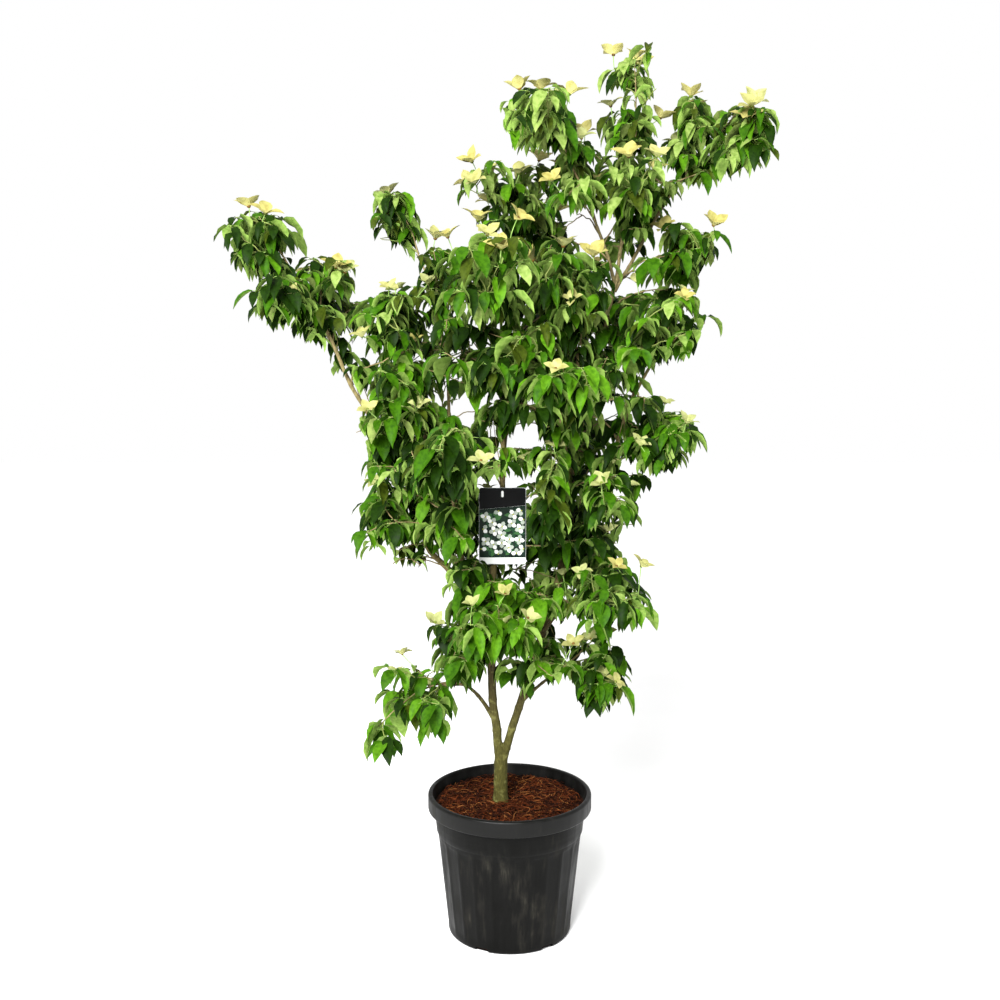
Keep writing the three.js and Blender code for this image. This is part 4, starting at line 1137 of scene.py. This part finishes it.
def blossom(foot, upright, head):
    """A blossom's place, size and finish: larger and buff high up, small and greenish below."""
    high = foot[2] > HIGH_BLOSSOM
    size = blossom_random.uniform(1.1, 1.4) if high else blossom_random.uniform(0.85, 1.05)
    shares = [0.08, 0.3, 0.62] if high else [0.62, 0.33, 0.05]
    blossom_rows.append((foot, head, upright, size, blossom_random.choice(3, p=shares)))


for x, z in BLOSSOM_PLACES:
    heads = camera_place + (np.array([x, 0, z]) - camera_place) * (feet[:, 1:2] / CAMERA_BACK + 1)
    across, _, up = (heads - feet).T
    cost = np.abs(across) / PLACE_ACROSS + np.abs(up - STALK_RISE) / PLACE_UP + feet[:, 1] / PLACE_BACK
    for index in cost.argsort()[:PLACE_TRIES]:
        if cost[index] < PLACE_MOST_COST and in_own_space(tips[index][0], heads[index]):
            blossom(feet[index], uprights[index], heads[index])
            break
for (mass, foot), upright in zip(tips, uprights):
    _, _, centre, reach = MASSES[mass]
    chance = TOP_CHANCE if mass in TOP_MASSES else UPPER_CHANCE
    if foot[2] <= centre[2] + UPPER_FROM * reach[2]:
        chance = LOWER_CHANCE
    if blossom_random.uniform() > chance * (FRONT_SHARE if foot[1] < 0 else 1):
        continue
    head = foot + upright * blossom_random.uniform(12, 32)
    clear = all(math.dist(head, row[1]) > BLOSSOMS_APART for row in blossom_rows)
    if clear and in_own_space(mass, head) and not open_there(head + 12 * upright):
        blossom(foot, upright, head)
paths = np.array(stalk_paths)
tubes(stalk_heap, paths, np.full((len(paths), 2), PETIOLE_RADIUS), 3, STALK_SKIN)

for name in ("leaves_top", "leaves_left", "leaves_centre", "leaves_right", "leaves_low", "leaves_back"):
    rows = [row for mass in MASS_GROUPS[name] for row in leaf_rows[mass]]
    *fields, greens = (np.array(column) for column in zip(*rows))
    heap = Heap()
    LEAF.heap(heap, LEAF.shape(*fields), greens, len(leaf_tops) + (greens == OLIVE_LEAF))
    piece = heap.piece(name, leaf_tops + leaf_undersides, "foliage", list(MASS_GROUPS[name]))
    crease_margins(piece, LEAF)

twig_heap.piece("twigs", twig_barks, "bark", list(MASSES))

ball = bmesh.new()
bmesh.ops.create_icosphere(ball, subdivisions=2, radius=1)
ball_points = np.array([vertex.co for vertex in ball.verts])
ball_faces = np.array([[vertex.index for vertex in face.verts] for face in ball.faces])
ball.free()


def turn_onto(direction):
    """The matrix that turns rows of points from upright onto a direction."""
    return np.array(Vector((0, 0, 1)).rotation_difference(Vector(direction)).to_matrix()).T


def open_blossom(foot, head, upright, size, colour):
    """Four bracts in two crossed pairs round a rough head, on a slightly bent stalk."""
    turned = turn_onto(upright)
    azimuths = growth.uniform(0, math.pi) + np.arange(4) * (math.pi / 2) + growth.normal(0, 0.09, 4)
    lengths = size * growth.uniform(*BRACT_LENGTH, 4)
    starts = np.array(BRACT_SLOPES) + growth.normal(0, 0.1, 4)
    stops = growth.uniform(-0.45, 0.15) + growth.normal(0, 0.18, 4)
    round_head = [np.cos(azimuths) * BRACT_RING, np.sin(azimuths) * BRACT_RING, [0, 0.5, 0, 0.5]]
    halves = lengths * growth.uniform(*BRACT_WIDTH_SHARE, 4)
    rolls, sways = growth.normal(0, 0.1, 4), growth.normal(0, 0.15, 4)
    shapes = BRACT.shape(
        np.stack(round_head, axis=1), azimuths, starts, stops, lengths, halves,
        np.full(4, BRACT_FOLD), rolls, sways, np.full(4, BRACT_WAVE),
    )
    colours = np.full(4, colour)
    # Undersides take the lighter copies of their colour, painted light against the shade beneath
    BRACT.heap(bract_heap, shapes @ turned + head, colours, colours + len(bracts) // 2)
    bumpy = ball_points * (HEAD_RADIUS * size) * growth.uniform(0.93, 1.07, (len(ball_points), 1))
    placed = (bumpy + [0, 0, HEAD_RISE]) @ turned + head
    head_heap.add(placed, (ball_faces, growth.integers(len(flower_heads))))
    middle = (foot + head) / 2 + growth.normal(0, 1.6, 3)
    stalk = sampled(bent(foot - upright * 2, middle, head + upright), 5)
    tubes(stalk_heap, stalk[None], np.array([[1, 0.9, 0.9, 1, 1.4]]), 5, STALK_SKIN)


for row in blossom_rows:
    open_blossom(*row)
piece = bract_heap.piece("blossom_bracts", bracts, "foliage", list(MASSES))
crease_margins(piece, BRACT)
head_heap.piece("blossom_heads", flower_heads, "foliage", list(MASSES))
stalk_heap.piece("leaf_and_blossom_stalks", twig_barks, "foliage", list(MASSES))


# Bark

BARK_STEP = 5
BARK_VOXEL = 1.9
BARK_SIDES = 18
TRUNK_SUNK = 4
FOOT_SWELL = 0.38
FOOT_SWELL_FADE = 14
NODE_SWELL = 0.13
NODE_HALF_LENGTH = 3.5
KINK_HALF_LENGTH = 38
LUMP_SIZE = 22
RIDGE_WIDTH = 4.5
RIDGE_LENGTH = 26
# Depth of the relief, and how much less it is higher up, from one height over a stretch
RELIEF_DEPTH = 0.55
RELIEF_LOSS = 0.3
RELIEF_LESS_FROM = 420
RELIEF_LESS_OVER = 600
NODE_SPACING = (55, 110)

STEM_LIMBS = ("trunk", "left_leader", "right_leader", "left_limb", "right_limb")
stem_bark, bough_bark = Heap(), Heap()
bark_random = np.random.default_rng(41)
for limb, curve in limb_curves.items():
    foot, tip = limb_radii[limb]
    length = length_of(sampled(curve, 60))
    steps = max(8, int(length / BARK_STEP))
    path = sampled(curve, steps)
    gone = np.linspace(0, length, steps)
    radii = tapered(steps, foot, tip)
    if limb == "trunk":
        radii = radii + ROOT_FLARE * np.clip(1 - (path[:, 2] - path[0, 2]) / ROOT_FLARE_HEIGHT, 0, 1)
        path[0, 2] -= TRUNK_SUNK
    else:
        # Swollen where it leaves its parent, and at nodes where it also bends a little
        parent_foot, parent_tip = limb_radii[LIMBS[limb][0]]
        free = np.clip(gone - (parent_foot + parent_tip) / 2, 0, None)
        radii = radii * (1 + FOOT_SWELL * np.exp(-free / FOOT_SWELL_FADE))
        place = bark_random.uniform(30, 70)
        while place < length:
            radii = radii * (1 + NODE_SWELL * np.exp(-((gone - place) / NODE_HALF_LENGTH) ** 2))
            kink = bark_random.normal(0, 1, 3) * min(2.2, 0.16 * foot + 0.6)
            share = np.exp(-((gone - place) / KINK_HALF_LENGTH) ** 2) * np.clip(gone / 60, 0, 1)
            path += kink * share[:, None]
            place += bark_random.uniform(*NODE_SPACING)
        radii[-1] *= 0.7
    tubes(stem_bark if limb in STEM_LIMBS else bough_bark, path[None], radii[None], BARK_SIDES, 0)
bark_material = bark_finish()
boughs = [limb for limb in limb_curves if limb not in STEM_LIMBS]
stem_piece = stem_bark.piece("trunk_and_leaders_bark", [bark_material], "bark", STEM_LIMBS)
bough_piece = bough_bark.piece("boughs_bark", [bark_material], "bark", boughs)


def only(piece):
    """Makes one piece the selected and active one."""
    bpy.ops.object.select_all(action="DESELECT")
    piece.select_set(True)
    bpy.context.view_layer.objects.active = piece


def applied(piece, kind, **settings):
    only(piece)
    modifier = piece.modifiers.new(kind.lower(), kind)
    for name, value in settings.items():
        setattr(modifier, name, value)
    bpy.ops.object.modifier_apply(modifier=modifier.name)


def roughened(piece):
    """Low lumps and lengthwise ridges, deepest on the trunk."""
    mesh = piece.data
    points = np.empty(len(mesh.vertices) * 3)
    mesh.vertices.foreach_get("co", points)
    points = points.reshape(-1, 3) / MM
    normals = np.empty(points.size)
    mesh.vertex_normals.foreach_get("vector", normals)
    rises = []
    for x, y, z in points:
        up = min(1, max(0, (z - RELIEF_LESS_FROM) / RELIEF_LESS_OVER))
        depth = RELIEF_DEPTH - RELIEF_LOSS * up
        lumps = noise.noise(Vector((x, y, z)) / LUMP_SIZE)
        ridges = noise.noise(Vector((x / RIDGE_WIDTH, y / RIDGE_WIDTH, z / RIDGE_LENGTH)))
        rises.append((1.1 * lumps + ridges) * depth)
    points += normals.reshape(-1, 3) * np.array(rises)[:, None]
    mesh.vertices.foreach_set("co", (points * MM).reshape(-1))
    mesh.update()


applied(stem_piece, "REMESH", mode="VOXEL", voxel_size=BARK_VOXEL * MM, use_smooth_shade=True)
applied(stem_piece, "SMOOTH", factor=0.5, iterations=5)
roughened(stem_piece)
roughened(bough_piece)


# Pot

def arc(centre, radius, first, last, steps):
    """Points of a round edge, from one angle to another in degrees."""
    angles = [math.radians(first + (last - first) * step / steps) for step in range(steps + 1)]
    return [(centre[0] + radius * math.cos(a), centre[1] + radius * math.sin(a)) for a in angles]


def vessel(name, rings, segments):
    """A disc extruded ring by ring: up the outside, over the edge and down the inside."""
    bpy.ops.object.select_all(action="DESELECT")
    bpy.ops.mesh.primitive_circle_add(
        vertices=segments, radius=rings[0][0] * MM, fill_type="NGON", location=(0, 0, 0),
    )
    made = bpy.context.active_object
    made.name = name
    bpy.ops.object.mode_set(mode="EDIT")
    bpy.ops.mesh.select_all(action="SELECT")
    bpy.ops.transform.translate(value=(0, 0, rings[0][1] * MM))
    for (radius, height), (next_radius, next_height) in zip(rings, rings[1:]):
        rise = (0, 0, (next_height - height) * MM)
        bpy.ops.mesh.extrude_region_move(TRANSFORM_OT_translate={"value": rise})
        share = next_radius / radius
        centre = (0, 0, next_height * MM)
        bpy.ops.transform.resize(value=(share, share, 1), center_override=centre)
    bpy.ops.mesh.select_all(action="SELECT")
    bpy.ops.mesh.normals_make_consistent(inside=False)
    bpy.ops.object.mode_set(mode="OBJECT")
    return made


def pot_wall_radius(height):
    return POT_FOOT_RADIUS + (POT_BODY_TOP_RADIUS - POT_FOOT_RADIUS) * height / POT_BODY_TOP


LIP_LOW = POT_HEIGHT - POT_LIP_DEPTH
FLUTE_LOW = 14
FLUTE_HIGH = POT_BODY_TOP - 6
FLUTE_FADE = (14, 9)
FLUTE_FLATNESS = 0.55
foot_edge = arc((POT_FOOT_RADIUS - 7, 8), 8, -90, -10, 6)
body = [(pot_wall_radius(z), z) for z in (11, 16, 22, 30, 48, 80, 120, 160, 195, 220, 229, 234, 238)]
outside = [
    (POT_FOOT_RADIUS - 30, 0), (POT_FOOT_RADIUS - 12, 0), *foot_edge, *body,
    (POT_BODY_TOP_RADIUS - 0.3, POT_BODY_TOP - 1.5),
    (POT_BODY_TOP_RADIUS + 0.4, POT_BODY_TOP + 0.5),
    (POT_BODY_TOP_RADIUS + 2.6, POT_BODY_TOP + 4),
    (POT_BODY_TOP_RADIUS + 3.4, POT_BODY_TOP + 14),
    (POT_COLLAR_RADIUS - 0.6, POT_BODY_TOP + 24),
    (POT_COLLAR_RADIUS, POT_BODY_TOP + 28),
    (POT_COLLAR_RADIUS, LIP_LOW - 8),
    (POT_COLLAR_RADIUS + 0.8, LIP_LOW - 4.5),
    (POT_COLLAR_RADIUS + 3, LIP_LOW - 2),
    (POT_LIP_RADIUS - 6, LIP_LOW),
    *arc((POT_LIP_RADIUS - 3.4, LIP_LOW + 3.4), 3.4, -90, 0, 5),
    (POT_LIP_RADIUS, LIP_LOW + 14),
    *arc((POT_LIP_RADIUS - 6, POT_HEIGHT - 6), 6, 0, 90, 8),
    *arc((POT_MOUTH_RADIUS + 3, POT_HEIGHT - 3), 3, 90, 180, 5),
]
inside = [
    (POT_MOUTH_RADIUS - 1, POT_HEIGHT - 14), (POT_COLLAR_RADIUS - POT_WALL, LIP_LOW - 5),
    (POT_COLLAR_RADIUS - POT_WALL, POT_BODY_TOP + 30),
    (POT_BODY_TOP_RADIUS - POT_WALL, POT_BODY_TOP),
    (pot_wall_radius(POT_FLOOR) - POT_WALL - 3, POT_FLOOR), (60, POT_FLOOR),
]
pot = vessel("nursery_pot", outside + inside, POT_SEGMENTS)
for vertex in pot.data.vertices:
    x, y, z = vertex.co / MM
    radius = math.hypot(x, y)
    if FLUTE_LOW < z < FLUTE_HIGH and radius > pot_wall_radius(z) - 1:
        turn = math.atan2(y, x) * FLUTE_COUNT / (2 * math.pi) % 1
        fade = min(1, (z - FLUTE_LOW) / FLUTE_FADE[0]) * min(1, (FLUTE_HIGH - z) / FLUTE_FADE[1])
        hollow = math.sin(math.pi * turn) ** FLUTE_FLATNESS
        push = FLUTE_DEPTH * hollow * math.sin(fade * math.pi / 2)
        vertex.co *= Vector((1 - push / radius, 1 - push / radius, 1))
for degrees in NOTCH_AZIMUTHS:
    azimuth = math.radians(degrees)
    bpy.ops.object.select_all(action="DESELECT")
    bpy.ops.mesh.primitive_cube_add(
        size=1,
        location=(POT_FOOT_RADIUS * math.cos(azimuth) * MM, POT_FOOT_RADIUS * math.sin(azimuth) * MM, 0),
        rotation=(0, 0, azimuth),
        scale=(2 * NOTCH_DEPTH * MM, NOTCH_WIDTH * MM, 2 * NOTCH_HEIGHT * MM),
    )
    cutter = bpy.context.active_object
    applied(cutter, "BEVEL", width=2.5 * MM, segments=3)
    applied(pot, "BOOLEAN", operation="DIFFERENCE", object=cutter, solver="EXACT")
    bpy.data.objects.remove(cutter)
pot.data.materials.append(pot_finish())
only(pot)
bpy.ops.object.shade_smooth_by_angle(angle=math.radians(35))
declare(pot, ["pot"])


# Growing medium

MEDIUM_RINGS = 34
MEDIUM_RELIEF = 5
# Its edge stays 1 mm inside the wall, which leans out from the collar to the mouth
medium_radius = POT_COLLAR_RADIUS - POT_WALL + (
    (POT_MOUTH_RADIUS - POT_COLLAR_RADIUS + POT_WALL)
    * (MEDIUM_TOP - LIP_LOW + 5) / (POT_HEIGHT - 4 - LIP_LOW + 5)
) - 1
rings = [
    (pot_wall_radius(POT_FLOOR) - POT_WALL - 5, POT_FLOOR + 0.3),
    (POT_BODY_TOP_RADIUS - POT_WALL - 1, POT_BODY_TOP),
    (POT_COLLAR_RADIUS - POT_WALL - 1, POT_BODY_TOP + 30),
    (POT_COLLAR_RADIUS - POT_WALL - 1, LIP_LOW - 6),
    *((medium_radius * (1 - step / MEDIUM_RINGS), MEDIUM_TOP - 3) for step in range(MEDIUM_RINGS)),
]
medium = vessel("growing_medium_crumb", rings, 120)
for vertex in medium.data.vertices:
    x, y, z = vertex.co / MM
    if z > MEDIUM_TOP - 4:
        place = Vector((x, y, 0))
        rough = noise.noise(place / 34) + 0.6 * noise.noise(place / 9)
        edge = min(1, (medium_radius - math.hypot(x, y)) / 12)
        vertex.co.z += MEDIUM_RELIEF * (rough - 0.3 * (1 - edge)) * edge * MM
medium.data.materials.append(coir_finish("damp_coir_crumb", 0x261006, 0x0f0602))
only(medium)
bpy.ops.object.shade_smooth_by_angle(angle=math.radians(60))
declare(medium, ["growing_medium"])

# Loose fibres lie on the surface as arcs of a circle, each with its own rise and tilt
FIBRE_COUNT = 2600
FIBRE_STEPS = 8
coir_random = np.random.default_rng(5)
trunk_x, trunk_y, _ = TRUNK_PATH[0]
turns = coir_random.uniform(0, 2 * math.pi, FIBRE_COUNT)
spread = np.sqrt(coir_random.uniform(0.004, 1, FIBRE_COUNT)) * (medium_radius - 9)
centres = np.stack([np.cos(turns) * spread, np.sin(turns) * spread], axis=1)
curls = coir_random.uniform(7, 34, FIBRE_COUNT)
sweeps = coir_random.uniform(0.8, 3.6, FIBRE_COUNT) * np.clip(20 / curls, 0.5, 1.4)
starts = coir_random.uniform(0, 2 * math.pi, FIBRE_COUNT)
shares = np.linspace(0, 1, FIBRE_STEPS)
angles = starts[:, None] + sweeps[:, None] * shares
path_x = centres[:, :1] + curls[:, None] * (np.cos(angles) - np.cos(starts + sweeps / 2)[:, None])
path_y = centres[:, 1:] + curls[:, None] * (np.sin(angles) - np.sin(starts + sweeps / 2)[:, None])
arch = np.sin(math.pi * shares) * coir_random.uniform(0, 9, FIBRE_COUNT)[:, None]
tilt = (shares - 0.5) * coir_random.normal(0, 5, FIBRE_COUNT)[:, None]
path_z = MEDIUM_TOP - 1 + arch + tilt + coir_random.uniform(-2, 3, FIBRE_COUNT)[:, None]
reach = np.hypot(path_x, path_y).max(axis=1)
near_trunk = np.hypot(path_x - trunk_x, path_y - trunk_y).min(axis=1) < TRUNK_FOOT_RADIUS
kept = (reach < medium_radius - 2) & ~near_trunk
fibre_paths = np.stack([path_x, path_y, path_z], axis=-1)[kept]
fibre_radii = coir_random.uniform(0.5, 1.15, kept.sum())[:, None] * (1 - 0.5 * np.abs(shares - 0.5))
fibre_heap = Heap()
tones = coir_random.choice(4, size=kept.sum(), p=[0.4, 0.3, 0.2, 0.1])
tubes(fibre_heap, fibre_paths, fibre_radii, 3, tones)

# Flat husk chips lie among them
CHIP_COUNT = 420
cube = np.array([(x, y, z) for x in (-1, 1) for y in (-1, 1) for z in (-1, 1)], dtype=float)
cube_faces = np.array([
    (0, 1, 3, 2), (4, 6, 7, 5), (0, 4, 5, 1), (2, 3, 7, 6), (0, 2, 6, 4), (1, 5, 7, 3),
])
for _ in range(CHIP_COUNT):
    turn = coir_random.uniform(0, 2 * math.pi)
    radius = math.sqrt(coir_random.uniform(0.03, 1)) * (medium_radius - 12)
    size = np.array([coir_random.uniform(*span) for span in ((3, 9), (2, 4), (0.6, 1.8))])
    lean = Euler(coir_random.uniform(-0.5, 0.5, 3) + [0, 0, coir_random.uniform(0, 6)]).to_matrix()
    chip = (cube * size * coir_random.uniform(0.7, 1.2, (8, 3))) @ np.array(lean).T
    place = [math.cos(turn) * radius, math.sin(turn) * radius, MEDIUM_TOP + coir_random.uniform(-3, 2)]
    fibre_heap.add(chip + place, (cube_faces, coir_random.integers(3)))
fibre_heap.piece(
    "coir_fibres",
    [
        coir_finish("dark_coir_fibre", 0x2c1308, 0x170904),
        coir_finish("red_brown_coir_fibre", 0x50240d, 0x301306),
        coir_finish("brown_coir_fibre", 0x663216, 0x421d0a),
        coir_finish("pale_coir_fibre", 0x8d5a30, 0x63391a),
    ],
    "coir", ["growing_medium"],
)


# Name tag

TAG_WIDTH = 104
TAG_HEIGHT = 172
TAG_THICKNESS = 1
TAG_HANG_HEIGHT = 1046
TAG_TOP_ABOVE_LOOP = 6
TAG_LOOP_WIDTH = 8
TAG_LOOP_THICKNESS = 2.5
TAG_CORNER = 5
INK = 0.12
# The print: its bare margin, the foot of the picture, and the header's edge at left and right
PRINT_MARGIN = 0.4
PICTURE_FOOT = 15
HEADER_EDGE = (123.5, 132.5)
PAPER, DARK_GREEN, BLACK, GREEN, DEEP_GREEN, YELLOW_GREEN, PALE_GREY = range(7)
PRINTED_LEAVES = 90
PRINTED_FLOWERS = 24
FLOWERS_APART = 18
FLOWER_TRIES = 900
LEAF_OUTLINE = [(0, 0), (0.3, 0.24), (0.62, 0.2), (1, 0), (0.62, -0.2), (0.3, -0.24)]
PETAL_OUTLINE = [(0.06, 0), (0.38, 0.38), (0.74, 0.34), (1, 0), (0.74, -0.34), (0.38, -0.38)]

leader = limb_curves["left_leader"]
hang_share = share_at_height(leader, TAG_HANG_HEIGHT)
hang = leader(hang_share)
leader_foot, leader_tip = limb_radii["left_leader"]
loop_inner = leader_foot + (leader_tip - leader_foot) * hang_share
tag_middle = hang[0] - 1
tag_front = hang[1] - loop_inner - TAG_LOOP_THICKNESS - TAG_THICKNESS / 2
tag_top = hang[2] + TAG_TOP_ABOVE_LOOP
tag_foot = tag_top - TAG_HEIGHT


def plate(heap, outline, layer, thickness, colour):
    """A thin plate on the tag's front, from points across the tag and up from its foot."""
    points = np.array(outline, dtype=float)
    count = len(points)
    flat = np.stack([points[:, 0] + tag_middle, np.zeros(count), points[:, 1] + tag_foot], axis=1)
    front = flat + [0, tag_front - layer - thickness, 0]
    back = flat + [0, tag_front - layer, 0]
    ring = np.arange(count)
    following = (ring + 1) % count
    walls = np.stack([ring, following, following + count, ring + count], axis=1)
    heap.add(
        np.concatenate([front, back]),
        (walls[:, ::-1], colour), (ring[None], colour), (ring[None, ::-1] + count, colour),
    )


def rounded(left, right, low, high, corner):
    """An outline with round corners, clockwise as seen from the front."""
    points = []
    for x, z, first in ((right, high, 0), (left, high, 90), (left, low, 180), (right, low, 270)):
        centre = (x - corner if x == right else x + corner, z - corner if z == high else z + corner)
        points.extend(arc(centre, corner, first, first + 90, 5))
    return points[::-1]


tag_random = np.random.default_rng(12)
half = TAG_WIDTH / 2
edge = half - PRINT_MARGIN
header_left, header_right = HEADER_EDGE
tag = Heap()
plate(tag, rounded(-half, half, 0, TAG_HEIGHT, TAG_CORNER), -TAG_THICKNESS, TAG_THICKNESS, PAPER)
picture = [
    (edge, header_right - 0.2), (edge, PICTURE_FOOT), (-edge, PICTURE_FOOT), (-edge, header_left - 0.2),
]
plate(tag, picture, 0, INK, DARK_GREEN)
header = rounded(-edge, edge, 0, TAG_HEIGHT - PRINT_MARGIN, TAG_CORNER)
header = [(x, z) for x, z in header if z > header_right] + [(-edge, header_left), (edge, header_right)]
# Its points in turn round a place inside it
header.sort(key=lambda point: -math.atan2(point[1] - 145, point[0]))
plate(tag, header, 0, INK, BLACK)


def printed(heap, outline, middle, turn, size, layer, colour):
    """One printed shape, turned about its root, if it lies inside the picture."""
    cos, sin = math.cos(turn) * size, math.sin(turn) * size
    points = [(middle[0] + x * cos - y * sin, middle[1] + x * sin + y * cos) for x, y in outline]
    slope = (header_right - header_left) / (2 * edge)
    top = (header_right + header_left) / 2 - 1
    if all(abs(x) < half - 1 and PICTURE_FOOT + 1 < z < top + slope * x for x, z in points):
        plate(heap, points[::-1], layer, INK, colour)


layer = INK
for step in range(PRINTED_LEAVES):
    place = (tag_random.uniform(-half, half), tag_random.uniform(16, 124))
    colour = DEEP_GREEN if step % 2 else GREEN
    printed(tag, LEAF_OUTLINE, place, tag_random.uniform(0, 7), 17, layer, colour)
    layer += INK / PRINTED_LEAVES
layer += INK
flowers = []
for _ in range(FLOWER_TRIES):
    place = (tag_random.uniform(5 - half, half - 5), tag_random.uniform(20, 122))
    crowded = any(math.dist(place, other) <= FLOWERS_APART for other in flowers)
    if crowded or len(flowers) == PRINTED_FLOWERS:
        continue
    flowers.append(place)
    turn = tag_random.uniform(0, math.pi / 2)
    for petal in range(4):
        colour = PAPER if petal % 2 else PALE_GREY
        angle = turn + petal * math.pi / 2
        printed(tag, PETAL_OUTLINE, place, angle, 12, layer + petal * INK / 4, colour)
    plate(tag, arc(place, 2, 360, 60, 5), layer + 2 * INK, INK, YELLOW_GREEN)
# The slot that the strap passes through shows as a pale mark
plate(tag, rounded(-2.6, 2.6, 151, 165, 2.5), INK, INK, PAPER)

# The tag's strap: a closed band round the leader, square in section
turns = np.linspace(0, 2 * math.pi, 49)
half_band = TAG_LOOP_WIDTH / 2 - 1.5
strap_inner, strap_outer = loop_inner + 0.8, loop_inner + 1.9
profile = [
    (strap_inner, -half_band), (strap_outer, -half_band),
    (strap_outer, half_band), (strap_inner, half_band),
]
band = np.array([
    [(radius * math.cos(t), radius * math.sin(t), rise) for radius, rise in profile]
    for t in turns[:-1]
])
count = len(band)
ring = np.arange(count)[:, None] * 4
following = (np.arange(count)[:, None] + 1) % count * 4
corner = np.arange(4)[None, :]
next_corner = (corner + 1) % 4
walls = np.stack([
    ring + corner, following + corner, following + next_corner, ring + next_corner,
], axis=-1).reshape(-1, 4)
facing = turn_onto(direction_at(leader, hang_share))
tag.add(band.reshape(-1, 3) @ facing + hang, (walls, PAPER))
tag_piece = tag.piece(
    "plant_label_card",
    [
        card_finish("white_printed_plastic_card", 0xf6f7f5, 0xeceeea),
        card_finish("dark_green_card_print", 0x1a2c22, 0x121f18),
        card_finish("black_card_print", 0x070809, 0x030404),
        card_finish("green_card_print", 0x3f6b3a, 0x305a30),
        card_finish("deep_green_card_print", 0x254a30, 0x1b3a26),
        card_finish("yellow_green_card_print", 0xa9b04a, 0x8f9838),
        card_finish("pale_grey_card_print", 0xb4bcae, 0x98a296),
    ],
    "card", ["plant_label"],
)
tag_piece.data.polygons.foreach_set("use_smooth", [False] * len(tag_piece.data.polygons))


# Studio: a plain pale floor, an even white surround and one broad soft light from above

bpy.ops.object.select_all(action="DESELECT")
bpy.ops.mesh.primitive_plane_add(size=16, location=(0, 0, -0.0005))
floor = bpy.context.active_object
floor.name = "studio_floor"
paint, tree, place = material("matt_white_floor_paint")
# Roller marks, about 330 mm across
rolled = add(tree, "ShaderNodeTexNoise", {"Vector": place, "Scale": scale_for(333), "Detail": 2})
stops = [(0.3, 0xfdfdfd), (0.7, 0xffffff)]
pale = add(tree, "ShaderNodeValToRGB", {"Fac": rolled.outputs["Fac"]}, stops)
floor.data.materials.append(coat(paint, Base_Color=pale.outputs["Color"], Roughness=0.9))

world = bpy.data.worlds.new("white_surround")
world.use_nodes = True
world.node_tree.nodes["Background"].inputs["Color"].default_value = (1, 1, 1, 1)
world.node_tree.nodes["Background"].inputs["Strength"].default_value = 1
bpy.context.scene.world = world


def soft_light(name, place, aim, size, power):
    data = bpy.data.lights.new(name, "AREA")
    data.size = size
    data.energy = power
    made = bpy.data.objects.new(name, data)
    made.location = place
    made.rotation_euler = (Vector(aim) - Vector(place)).to_track_quat("-Z", "Y").to_euler()
    bpy.context.scene.collection.objects.link(made)


soft_light("key_light", (-1.1, -3.6, 3.3), (0, 0, 1.1), 1.7, 495)

camera_data = bpy.data.cameras.new("photo_camera")
camera_data.lens = 50
camera_data.sensor_width = 36
camera = bpy.data.objects.new("photo_camera", camera_data)
camera.location = Vector((CAMERA_X, -CAMERA_BACK, CAMERA_Z)) * MM
camera.rotation_euler = (math.radians(90 - CAMERA_DOWN), 0, 0)
bpy.context.scene.collection.objects.link(camera)
bpy.context.scene.camera = camera
bpy.context.scene.view_settings.view_transform = "Standard"
